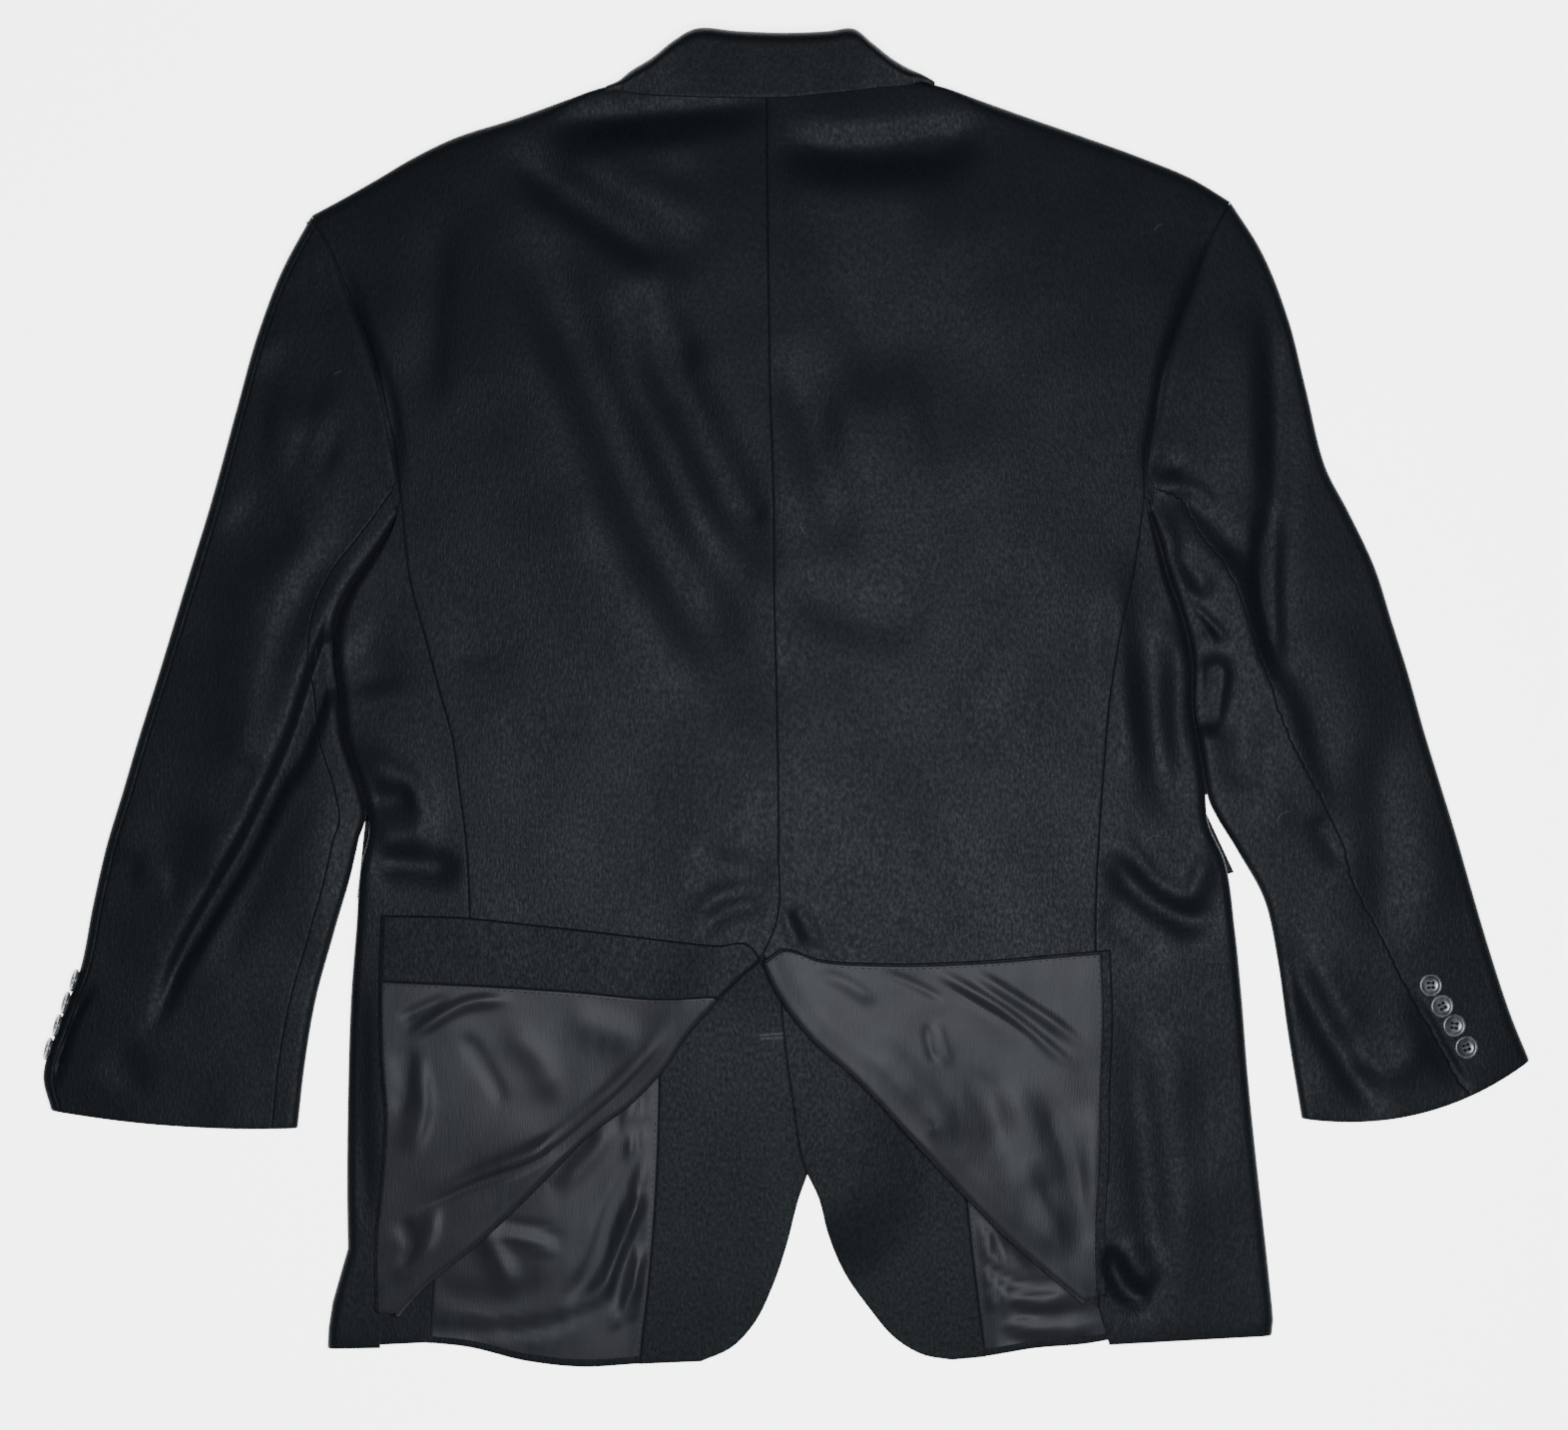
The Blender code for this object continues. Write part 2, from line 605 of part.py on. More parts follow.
def shoulder_rows(start, outward, radius, level, seam, thickness):
    """Outer and inner rows of a quarter round from the flat cloth to the shoulder seam."""
    outer, inner = [], []
    drop = level - seam
    for step in range(SHOULDER_STEPS, 0, -1):
        turn = math.pi / 2 * step / SHOULDER_STEPS
        for rows, cut in ((outer, 0.0), (inner, thickness)):
            plan = start + outward * ((radius - cut) * math.sin(turn))[:, None]
            high = seam + (drop - np.sign(drop) * cut) * math.cos(turn)
            rows.append(np.column_stack([plan, high]))
    return np.array(outer), np.array(inner)


def back_panel(name, shoulder, armhole, side_seam, fold, material):
    start, outward, radius = shoulder_start(shoulder, BACK_COLUMNS, BACK_NECK_SHARE)
    arm = below(armhole_line(armhole, start[-1]), start[-1])
    arm = resampled(arm, np.linspace(0, 1, ARMHOLE_ROWS))
    outer_line = np.vstack([arm, curve(side_seam, SIDE_ROWS)[1:]])
    seam = fine_line([tuple(start[0]), *CENTRE_SEAM[1:]])
    inner_line = resampled(seam, np.linspace(0, 1, len(outer_line)))
    plan = patch(start, curve(fold, BACK_COLUMNS), inner_line, outer_line)
    outer = raised(plan, body_height)
    inner = raised(plan, body_height, WOOL_WALL)
    level = outer[0, :, 2]
    round_part = (radius - NECK_RADIUS) / (SHOULDER_RADIUS - NECK_RADIUS)
    neck_seam = level - NECK_RADIUS
    seam_height = neck_seam + (SHOULDER_SEAM_HEIGHT - neck_seam) * round_part
    top, under = shoulder_rows(start, outward, radius, level, seam_height + SEAM_GAP / 2, WOOL_WALL)
    outer = np.concatenate([top, outer])
    inner = np.concatenate([under, inner])
    drawn_in(outer, inner, ("bottom",), FOLD_GAP / 2)
    drawn_in(outer, inner, ("first", "last"))
    return wall(name, outer, inner, material)


def turned_edge(edge, over, under, radius, level, floor, thickness):
    """Points round a folded edge, from the upper cloth to the lower one, outer and inner."""
    outer, inner = [], []
    for step in range(EDGE_STEPS + 1):
        turn = math.pi * step / EDGE_STEPS
        share = step / EDGE_STEPS
        way = unit(over * (1 - share) + under * share)
        half = (level - floor) / 2
        for rows, cut in ((outer, 0.0), (inner, thickness)):
            reach = radius - (radius - cut) * math.sin(turn)
            high = floor + half + (half - cut) * math.cos(turn)
            rows.append(np.column_stack([edge - way * reach[:, None], high]))
    return np.array(outer).swapaxes(0, 1), np.array(inner).swapaxes(0, 1)


def across_lines(start, end, count):
    share = np.linspace(0, 1, count)[None, :, None]
    return start[:, None] * (1 - share) + end[:, None] * share


def side_panel(name, side_seam, foot, body_edge, under_seam, material):
    """A panel from the side back seam, round the body's edge, to the seam with the front."""
    foot = np.array(foot, float)
    seam = np.vstack([curve(side_seam, SIDE_ROWS), foot[:, :2]])
    edge = np.vstack([curve(body_edge, SIDE_ROWS), foot[:, 2:]])
    lower = curve(under_seam, len(seam))
    over_way = unit(edge - seam)
    under_way = unit(edge - lower)
    reach = np.minimum(np.linalg.norm(edge - seam, axis=1), np.linalg.norm(edge - lower, axis=1))
    radius = np.minimum(EDGE_RADIUS, reach * EDGE_SHARE)
    top_end = edge - over_way * radius[:, None]
    under_end = edge - under_way * radius[:, None]
    top = across_lines(seam, top_end, SIDE_COLUMNS[0])
    bottom = across_lines(under_end, lower, SIDE_COLUMNS[2])
    top_outer = raised(top, body_height)
    top_inner = raised(top, body_height, WOOL_WALL)
    bottom_outer = raised(bottom, under_height)
    bottom_inner = raised(bottom, under_height, -WOOL_WALL)
    level, floor = top_outer[:, -1, 2], bottom_outer[:, 0, 2]
    turn_outer, turn_inner = turned_edge(edge, over_way, under_way, radius, level, floor, WOOL_WALL)
    outer = np.concatenate([top_outer, turn_outer[:, 1:-1], bottom_outer], axis=1)
    inner = np.concatenate([top_inner, turn_inner[:, 1:-1], bottom_inner], axis=1)
    drawn_in(outer, inner, ("first", "last"))
    return wall(name, outer, inner, material)


def front_grid(shoulder, armhole, edge, facing_line, under_seam, hem, seam_rows):
    """Plan grid of a front, with a column line along the facing's inner edge."""
    columns = FACING_COLUMNS + LINING_COLUMNS - 1
    down = np.linspace(0, 1, ARMHOLE_ROWS + seam_rows - 1)
    start, outward, radius = shoulder_start(shoulder, columns, -1.0)
    arm = below(armhole_line(armhole, start[-1]), start[-1])
    arm = resampled(arm, np.linspace(0, 1, ARMHOLE_ROWS))
    outer_line = np.vstack([arm, curve(under_seam, seam_rows)[1:]])
    inner_line = resampled(fine_line([tuple(start[0]), *edge[1:]]), down)
    middle = resampled(fine_line([tuple(start[FACING_COLUMNS - 1]), *facing_line[1:]]), down)
    foot = fine_line(hem)
    split = np.linalg.norm(foot - middle[-1], axis=1).argmin()
    middle[-1] = foot[split]
    outer_line[-1] = foot[-1]
    near = patch(
        start[:FACING_COLUMNS],
        resampled(foot[: split + 1], np.linspace(0, 1, FACING_COLUMNS)),
        inner_line,
        middle,
    )
    far = patch(
        start[FACING_COLUMNS - 1 :],
        resampled(foot[split:], np.linspace(0, 1, LINING_COLUMNS)),
        middle,
        outer_line,
    )
    return np.concatenate([near, far[:, 1:]], axis=1), start, outward, radius


def front_panel(name, plan, start, outward, radius, under, material):
    outer = raised(plan, under)
    inner = raised(plan, under, -WOOL_WALL)
    level = outer[0, :, 2]
    seam = np.full(len(level), SHOULDER_SEAM_HEIGHT - SEAM_GAP / 2)
    low, high = shoulder_rows(start, outward, radius, level, seam, WOOL_WALL)
    outer = np.concatenate([low, outer])
    inner = np.concatenate([high, inner])
    drawn_in(outer, inner, ("last",))
    return wall(name, outer, inner, material)


def inside_layer(name, plan, columns, start, end, under, material):
    """A facing or lining on the inside of a front, made from the front's own points."""
    part = plan[round(start * len(plan)) : end, columns].copy()
    lower = raised(part, under, -(WOOL_WALL + LAYER_GAP))
    upper = raised(part, under, -(WOOL_WALL + LAYER_GAP + LINING_WALL))
    drawn_in(upper, lower, ("first", "last"))
    return wall(name, upper, lower, material)


def sleeve_loop(table, armhole, shoulder, folds, seam_share, counts):
    """Closed rings of a sleeve, from the outer edge over the top to the inner edge and back underneath."""
    rows = curve(table, SLEEVE_ROWS)
    outer_edge, inner_edge = rows[:, :2], rows[:, 2:4]
    arm_share, bow, height = rows[:, 4:].T
    start, _, _ = shoulder_start(shoulder, BACK_COLUMNS, BACK_NECK_SHARE)
    arm = armhole_line(armhole, start[-1])
    width = np.linalg.norm(inner_edge - outer_edge, axis=1)
    radius = np.minimum(EDGE_RADIUS, width * SLEEVE_EDGE_SHARE)
    chord_way = inner_edge - outer_edge
    square = unit(np.column_stack([-chord_way[:, 1], chord_way[:, 0]]))

    def plan(share):
        chord = outer_edge * (1 - share[:, None]) + inner_edge * share[:, None]
        round_arm = np.array([resampled(arm, [one])[0] for one in share])
        straight = arm[0] * (1 - share[:, None]) + arm[-1] * share[:, None]
        bulge = 4 * bow * share * (1 - share)
        return chord + arm_share[:, None] * (round_arm - straight) + square * bulge[:, None]

    def top_height(points, share):
        loft = height * (CROWN_EDGE + (1 - CROWN_EDGE) * np.sin(math.pi * share))
        own = over_fronts(loft + relief(points, folds))
        blend = arm_share**2
        return own * (1 - blend) + body_height(points) * blend

    low, high = radius / width, 1 - radius / width
    middle = np.clip(seam_share(plan, width), low + SEAM_FROM_OUTER, high - SEAM_FROM_INNER)
    first, second = counts
    shares = [low + (middle - low) * step / first for step in range(first)]
    shares += [middle + (high - middle) * step / second for step in range(second + 1)]
    top_outer, top_inner = [], []
    for share in shares:
        points = plan(share)
        level = top_height(points, share)
        steep = steepness(lambda at: relief(at, folds), points)
        top_outer.append(np.column_stack([points, level]))
        top_inner.append(np.column_stack([points, level - WOOL_WALL * steep]))
    under_seam = high - FRONT_SEAM_INSET / width
    under = [high, under_seam, (under_seam + low) / 2, low]
    bottom_outer = [np.column_stack([plan(share), np.zeros(len(width))]) for share in under]
    bottom_inner = [rows + (0, 0, WOOL_WALL) for rows in bottom_outer]
    ends = []
    for share, rim, level in ((high, 1.0, top_outer[-1][:, 2]), (low, 0.0, top_outer[0][:, 2])):
        edge = plan(np.full(len(width), rim))
        way = unit(edge - plan(share))
        ends.append(turned_edge(edge, way, way, radius, level, np.zeros(len(width)), WOOL_WALL))
    loops = []
    for side, (top, bottom) in enumerate(((top_outer, bottom_outer), (top_inner, bottom_inner))):
        inner_turn, outer_turn = ends[0][side], ends[1][side]
        loops.append(np.concatenate([
            np.array(top).swapaxes(0, 1),
            inner_turn[:, 1:-1],
            np.array(bottom).swapaxes(0, 1),
            outer_turn[:, -2:0:-1],
        ], axis=1))
    return loops


def sleeve_piece(name, loops, first, last, material):
    """The columns of a sleeve from first to last, going round."""
    size = loops[0].shape[1]
    columns = [column % size for column in range(first, last + 1)]
    outer, inner = (loop[:, columns].copy() for loop in loops)
    drawn_in(outer, inner, ("top",), SEAM_GAP)
    drawn_in(outer, inner, ("first", "last"))
    return wall(name, outer, inner, material)


def inset_share(plan, width):
    """The seam runs a fixed way in from the inner edge."""
    return 1 - (EDGE_RADIUS + FRONT_SEAM_INSET / 2) / width


def path_share(path):
    """The seam runs along a plan path."""
    line = fine_line(path)

    def share(plan, width):
        tries = np.linspace(0, 1, SEAM_TRIES)
        gaps = [nearest(plan(np.full(len(width), one)), line)[0] for one in tries]
        return tries[np.argmin(gaps, axis=0)]

    return share


def flap_plan(fold, top, hem, split=None):
    """Plan grid of a turned-up flap: columns from the fold to the hem, rows from the vent edge down.

    With a split line, a row line of the grid runs along it.
    """
    line = fine_line(fold)
    line = line[lengths(line) > TIP_START]
    line = line[lengths(line) < FOLD_END * lengths(line)[-1]]
    across = np.linspace(0, 1, FLAP_COLUMNS)
    hem_line = fine_line(hem)
    top_row = resampled(fine_line([tuple(line[0]), *top]), across)
    bottom_row = resampled(np.vstack([line[-1], hem_line[-1]]), across)
    down = np.linspace(0, 1, FLAP_ROWS)
    if split is None:
        return patch(top_row, bottom_row, resampled(line, down), resampled(hem_line, down))
    at_fold = np.abs(line[:, 1] - split[0][1]).argmin()
    at_hem = np.abs(hem_line[:, 1] - split[-1][1]).argmin()
    split_line = fine_line([tuple(line[at_fold]), *split[1:-1], tuple(hem_line[at_hem])])
    split_row = resampled(split_line, across)
    down = np.linspace(0, 1, FACING_ROWS)
    fold_part = resampled(line[: at_fold + 1], down)
    hem_part = resampled(hem_line[: at_hem + 1], down)
    upper = patch(top_row, split_row, fold_part, hem_part)
    down = np.linspace(0, 1, FLAP_ROWS - FACING_ROWS + 1)
    fold_part = resampled(line[at_fold:], down)
    hem_part = resampled(hem_line[at_hem:], down)
    lower = patch(split_row, bottom_row, fold_part, hem_part)
    return np.concatenate([upper, lower[1:]])


def shortened(plan, edge, amount):
    """The plan grid with its hem or vent edge drawn back along the grid lines."""
    plan = plan.copy()
    at, beside = ((slice(None), -1), (slice(None), -2)) if edge == "hem" else ((0,), (1,))
    plan[at] += unit(plan[beside] - plan[at]) * amount
    return plan


def turned_layer(plan, fold, lower, thickness):
    """A layer that rolls round the fold and lies back over the panel; lower is its place above the flap."""
    edge = plan[:, 0]
    fold_line = fine_line(fold)
    outward = square_on(edge)
    outward *= np.sign(-outward[:, 1:2])

    def roll_size(points):
        gap, share = nearest(points, fold_line)
        from_tip = share * lengths(fold_line)[-1]
        return gap, FLAP_ROLL * (TIP_ROLL + (1 - TIP_ROLL) * smooth(from_tip / TIP_LENGTH))

    def sheet_height(points):
        gap, roll = roll_size(points)
        settle = FLAP_REST + (2 * roll - FLAP_REST) * (1 - smooth(gap / FLAP_SETTLE))
        return body_height(points) + settle

    flat = plan.reshape(-1, 2)
    steep = steepness(sheet_height, flat)
    _, roll = roll_size(edge)
    centre = body_height(edge) + roll
    grids = []
    for reach in (lower + thickness, lower):
        level = sheet_height(flat) + reach * steep
        sheet = np.column_stack([flat, level]).reshape(plan.shape[:2] + (3,))
        sheet[:, 0, :2] += outward * FOLD_GAP
        turned = []
        for step in range(ROLL_STEPS):
            turn = -math.pi / 2 + math.pi * step / ROLL_STEPS
            away = FOLD_GAP + (roll + reach) * math.cos(turn)
            place = edge + outward * away[:, None]
            turned.append(np.column_stack([place, centre + (roll + reach) * math.sin(turn)]))
        grids.append(np.concatenate([np.array(turned).swapaxes(0, 1), sheet], axis=1))
    return grids


def vent_flap(side, fold, top, hem, split, wool, lining):
    """A lower back panel turned up at the vent, with the facing and lining that then show."""
    plan = flap_plan(fold, top, hem, split)
    wall("vent_flap_" + side, *turned_layer(plan, fold, 0.0, FLAP_WALL), wool)
    over = FLAP_WALL + LAYER_GAP
    inner_plan = shortened(plan, "hem", HEM_BAND)
    if split is None:
        lining_plan = shortened(inner_plan, "vent", EDGE_BAND)
        wall("flap_lining_" + side, *turned_layer(lining_plan, fold, over, LINING_WALL), lining)
        return
    facing_plan = shortened(inner_plan[:FACING_ROWS], "vent", EDGE_BAND)
    outer, inner = turned_layer(facing_plan, fold, over, LINING_WALL)
    drawn_in(outer, inner, ("bottom",))
    wall("vent_facing_" + side, outer, inner, wool)
    outer, inner = turned_layer(inner_plan[FACING_ROWS - 1 :], fold, over, LINING_WALL)
    drawn_in(outer, inner, ("top",))
    wall("flap_lining_" + side, outer, inner, lining)


def plate(name, outline, low, high, material):
    """A flat layer of the given outline."""
    line = np.array(outline, float)
    count = len(line)
    middle = line.mean(axis=0)
    points = [(*place, low) for place in line] + [(*place, high) for place in line]
    points += [(*middle, low), (*middle, high)]
    faces = []
    for index in range(count):
        after = (index + 1) % count
        faces.append((after, index, 2 * count))
        faces.append((count + index, count + after, 2 * count + 1))
        faces.append((index, after, count + after))
        faces.append((index, count + after, count + index))
    return finish_mesh(name, points, faces, material)


def collar_piece(name, material):
    """Fall, roll and stand behind the neck, a section for each station across."""
    stations = curve(COLLAR, COLLAR_STATIONS)
    stations[:, 4:] = np.maximum(stations[:, 4:], 0.0)
    outer, inner = [], []
    for across, edge, top, end, low_top, low_end in stations:
        depth = abs(top - edge)
        radius = min(EDGE_RADIUS, depth * EDGE_SHARE)
        fall = np.linspace(edge, top - radius, COLLAR_STEPS)
        base = body_height(np.column_stack([np.full(COLLAR_STEPS, across), fall]))
        level = np.maximum(base.max() + LAYER_GAP + WOOL_WALL, COLLAR_HEIGHT)
        half = (level - low_top) / 2
        arm = np.linspace(top - radius, end, 3)
        arm_low = np.linspace(low_top, low_end, 3)
        row_outer = [(across, place, level) for place in fall[:-1]]
        row_inner = [(across, place, level - WOOL_WALL) for place in fall[:-1]]
        for step in range(EDGE_STEPS + 1):
            turn = math.pi * step / EDGE_STEPS
            for row, cut in ((row_outer, 0.0), (row_inner, WOOL_WALL)):
                place = top - radius + (radius - cut) * math.sin(turn)
                row.append((across, place, low_top + half + (half - cut) * math.cos(turn)))
        row_outer += [(across, place, low) for place, low in zip(arm[1:], arm_low[1:])]
        row_inner += [(across, place, low + WOOL_WALL) for place, low in zip(arm[1:], arm_low[1:])]
        outer.append(row_outer)
        inner.append(row_inner)
    return wall(name, np.array(outer), np.array(inner), material)


def button(name, centre, axis, diameter, material):
    """A dished button, turned about its axis; centre is the middle of its underside."""
    axis = unit(np.array(axis, float))
    side = unit(np.cross(axis, (0.3, 1.0, 0.2)))
    other = np.cross(axis, side)
    points = [np.array(centre, float)]
    for reach, high in BUTTON_PROFILE[1:-1]:
        for step in range(BUTTON_SIDES):
            turn = 2 * math.pi * step / BUTTON_SIDES
            spoke = side * math.cos(turn) + other * math.sin(turn)
            points.append(points[0] + spoke * reach * diameter + axis * high * BUTTON_THICKNESS)
    points.append(points[0] + axis * BUTTON_PROFILE[-1][1] * BUTTON_THICKNESS)
    faces = []
    last = len(points) - 1
    rings = len(BUTTON_PROFILE) - 3
    for step in range(BUTTON_SIDES):
        after = (step + 1) % BUTTON_SIDES
        faces.append((0, 1 + after, 1 + step))
        for ring in range(rings):
            low, high = 1 + ring * BUTTON_SIDES, 1 + (ring + 1) * BUTTON_SIDES
            faces.append((low + step, low + after, high + after))
            faces.append((low + step, high + after, high + step))
        top = 1 + rings * BUTTON_SIDES
        faces.append((top + step, top + after, last))
    return finish_mesh(name, points, faces, material)


def surface_points(grid):
    """Points spread over the triangles of a grid."""
    a, b = grid[:-1, :-1].reshape(-1, 3), grid[:-1, 1:].reshape(-1, 3)
    c, d = grid[1:, 1:].reshape(-1, 3), grid[1:, :-1].reshape(-1, 3)
    spread = []
    for step in range(SEAT_STEPS + 1):
        for other in range(SEAT_STEPS + 1 - step):
            u, v = step / SEAT_STEPS, other / SEAT_STEPS
            spread.append(a + (b - a) * u + (c - a) * v)
            spread.append(a + (c - a) * u + (d - a) * v)
    return np.concatenate(spread)


def seated(surface, middle, axis, diameter):
    """The middle of a button's underside, moved along its axis until it is just clear of the surface."""
    away = surface - middle
    along = away @ axis
    beside = np.linalg.norm(away - along[:, None] * axis, axis=1)
    reach, high = np.array(BUTTON_PROFILE[1:3]).T
    along -= np.interp(beside, reach * diameter, high * BUTTON_THICKNESS)
    near = (beside < diameter / 2) & (np.abs(along) < diameter / 2)
    return middle + axis * (along[near].max() + SEAM_GAP)


def facing_up(surface, place, diameter):
    """Middle and upward axis of the surface under a disc at a plan point."""
    near = surface[np.linalg.norm(surface[:, :2] - place, axis=1) < diameter / 2]
    columns = np.column_stack([near[:, :2] - place, np.ones(len(near))])
    slope_x, slope_y, level = np.linalg.lstsq(columns, near[:, 2], rcond=None)[0]
    return np.array([*place, level]), unit(np.array([-slope_x, -slope_y, 1.0]))


def build():
    for leftover in list(bpy.data.objects):
        bpy.data.objects.remove(leftover)
    wool = cloth("wool", WOOL_COLOUR, WOOL_ROUGHNESS)
    lining = cloth("lining", LINING_COLOUR, LINING_ROUGHNESS)
    horn = cloth("button", HORN_COLOUR, HORN_ROUGHNESS)

    back_panel("back_left", LEFT_SHOULDER, LEFT_ARMHOLE, LEFT_SIDE_SEAM, LEFT_FOLD[:10], wool)
    back_panel("back_right", RIGHT_SHOULDER, RIGHT_ARMHOLE, RIGHT_SIDE_SEAM, RIGHT_FOLD, wool)
    side_panel("side_left", LEFT_SIDE_SEAM, LEFT_SIDE_FOOT, LEFT_BODY_EDGE, LEFT_UNDER_SEAM, wool)
    side_panel("side_right", RIGHT_SIDE_SEAM, RIGHT_SIDE_FOOT, RIGHT_BODY_EDGE, RIGHT_UNDER_SEAM, wool)

    left_grid = front_grid(
        LEFT_SHOULDER[3:], LEFT_ARMHOLE, LEFT_FRONT_EDGE, LEFT_FACING_LINE, LEFT_UNDER_SEAM,
        LEFT_FRONT_HEM, SIDE_ROWS + len(LEFT_SIDE_FOOT),
    )
    right_grid = front_grid(
        RIGHT_SHOULDER[3:], RIGHT_ARMHOLE, RIGHT_FRONT_EDGE, RIGHT_FACING_LINE, RIGHT_UNDER_SEAM,
        RIGHT_FRONT_HEM, SIDE_ROWS + len(RIGHT_SIDE_FOOT),
    )
    facing_columns = slice(0, FACING_COLUMNS)
    lining_columns = slice(FACING_COLUMNS - 1, -1)
    for side, grid, under in (
        ("left", left_grid, under_height),
        ("right", right_grid, overlap_height),
    ):
        plan = grid[0]
        front_panel("front_" + side, *grid, under, wool)
        inside_layer("facing_" + side, plan, facing_columns, FACING_START, None, under, wool)
        inside_layer("front_lining_" + side, plan, lining_columns, LINING_START, -1, under, lining)

    plate("lapel_left", LEFT_LAPEL, 0.0, UNDER_WALL, wool)
    plate("lapel_right", RIGHT_LAPEL, 0.0, UNDER_WALL, wool)
    plate("collar_leaf_left", LEFT_LEAF, 0.0, UNDER_WALL, wool)
    plate("collar_leaf_right", RIGHT_LEAF, 0.0, UNDER_WALL, wool)
    plate("pocket_flap_left", LEFT_POCKET_FLAP, 0.0, UNDER_WALL, wool)
    plate("pocket_flap_right", RIGHT_POCKET_FLAP, 0.0, UNDER_WALL, wool)
    collar_piece("collar", wool)

    left = sleeve_loop(
        LEFT_SLEEVE, LEFT_ARMHOLE, LEFT_SHOULDER, LEFT_SLEEVE_FOLDS, inset_share, LEFT_TOP_COLUMNS
    )
    back_seam = LEFT_TOP_COLUMNS[0]
    sleeve_piece("under_sleeve_left", left, 0, back_seam, wool)
    sleeve_piece("top_sleeve_left", left, back_seam, left[0].shape[1], wool)
    right = sleeve_loop(
        RIGHT_SLEEVE, RIGHT_ARMHOLE, RIGHT_SHOULDER, RIGHT_SLEEVE_FOLDS, path_share(RIGHT_BACK_SEAM),
        RIGHT_TOP_COLUMNS,
    )
    back_seam = RIGHT_TOP_COLUMNS[0]
    front_seam = sum(RIGHT_TOP_COLUMNS) + EDGE_STEPS + 1
    sleeve_piece("under_sleeve_right", right, back_seam, front_seam, wool)
    sleeve_piece("top_sleeve_right", right, front_seam, right[0].shape[1] + back_seam, wool)

    vent_flap("left", LEFT_FOLD, LEFT_FLAP_TOP, LEFT_FLAP_HEM, LEFT_VENT_FACING, wool, lining)
    vent_flap("right", RIGHT_FOLD, RIGHT_FLAP_TOP, RIGHT_FLAP_HEM, None, wool, lining)

    cuff = surface_points(right[0][:, : sum(RIGHT_TOP_COLUMNS) + 1])
    for number, place in enumerate(SLEEVE_BUTTONS_RIGHT, 1):
        middle, axis = facing_up(cuff, place, CUFF_BUTTON)
        middle = seated(cuff, middle, axis, CUFF_BUTTON)
        button(f"cuff_button_right_{number}", middle, axis, CUFF_BUTTON, horn)
    cuff = surface_points(np.concatenate([left[0], left[0][:, :1]], axis=1))
    axis = unit(np.array(LEFT_BUTTON_AXIS))
    for number, place in enumerate(SLEEVE_BUTTONS_LEFT, 1):
        middle = seated(cuff, np.array([*place, LEFT_BUTTON_HEIGHT]), axis, CUFF_BUTTON)
        button(f"cuff_button_left_{number}", middle, axis, CUFF_BUTTON, horn)
    down = np.array([0.0, 0.0, -1.0])
    fronts = {"left": surface_points(raised(left_grid[0], under_height))}
    fronts["right"] = surface_points(raised(right_grid[0], overlap_height))
    for number, (front, x, y) in enumerate(FRONT_BUTTONS, 1):
        middle = seated(fronts[front], np.array([x, y, FRONT_LIFT]), down, FRONT_BUTTON)
        button(f"front_button_{number}", middle, down, FRONT_BUTTON, horn)


build()
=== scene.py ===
# A tailored wool blazer laid flat, face down, with its vent flaps turned up.
# Lengths are in millimetres: X to the right, Y towards the collar, Z up from the surface it
# lies on. Left and right are the wearer's own. Outlines are seen from above, as (x, y).
# A fold is its width on the left of its path's direction, its width on the right, its height
# (below zero is a trough), then the path's points.
import math
from functools import partial

import bpy
import numpy as np
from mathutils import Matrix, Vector


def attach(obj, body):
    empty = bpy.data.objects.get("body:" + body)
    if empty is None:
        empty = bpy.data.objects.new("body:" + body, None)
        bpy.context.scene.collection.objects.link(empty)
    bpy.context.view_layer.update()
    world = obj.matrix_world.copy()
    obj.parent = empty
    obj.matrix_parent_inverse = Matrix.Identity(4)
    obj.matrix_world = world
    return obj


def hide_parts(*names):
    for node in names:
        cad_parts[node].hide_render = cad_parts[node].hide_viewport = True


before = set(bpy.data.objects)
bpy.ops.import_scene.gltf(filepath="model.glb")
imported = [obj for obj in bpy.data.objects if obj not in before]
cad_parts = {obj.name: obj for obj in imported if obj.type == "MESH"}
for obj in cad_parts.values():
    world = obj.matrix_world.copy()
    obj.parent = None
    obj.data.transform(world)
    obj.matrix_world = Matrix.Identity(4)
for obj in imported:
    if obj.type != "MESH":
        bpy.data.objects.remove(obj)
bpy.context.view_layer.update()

mm = 0.001
shift = (0.1, 0.0, 0.0)  # the camera's middle lies this far off the garment's
lineSteps = 24
foldSteps = 22
foldTaper = 0.3  # share of a fold's length over which it dies away
foldReach = 2.6  # how many of its widths away a fold still counts
waveCount = 26

# the meshes by name, their cut sizes, and their upper faces as grids of points
made = {}
cutSizes = {}
outerFaces = {}


def smooth(value):
    value = np.clip(value, 0.0, 1.0)
    return value * value * (3.0 - 2.0 * value)


def evenly(count):
    return np.linspace(0, 1, count)


def lengths(points):
    return np.concatenate([[0.0], np.cumsum(np.linalg.norm(np.diff(points, axis=0), axis=1))])


# points of a fine line at the given shares of its length
def resampled(points, stops):
    run = lengths(points)
    at = np.asarray(stops) * run[-1]
    return np.column_stack(
        [np.interp(at, run, points[:, axis]) for axis in range(points.shape[1])]
    )


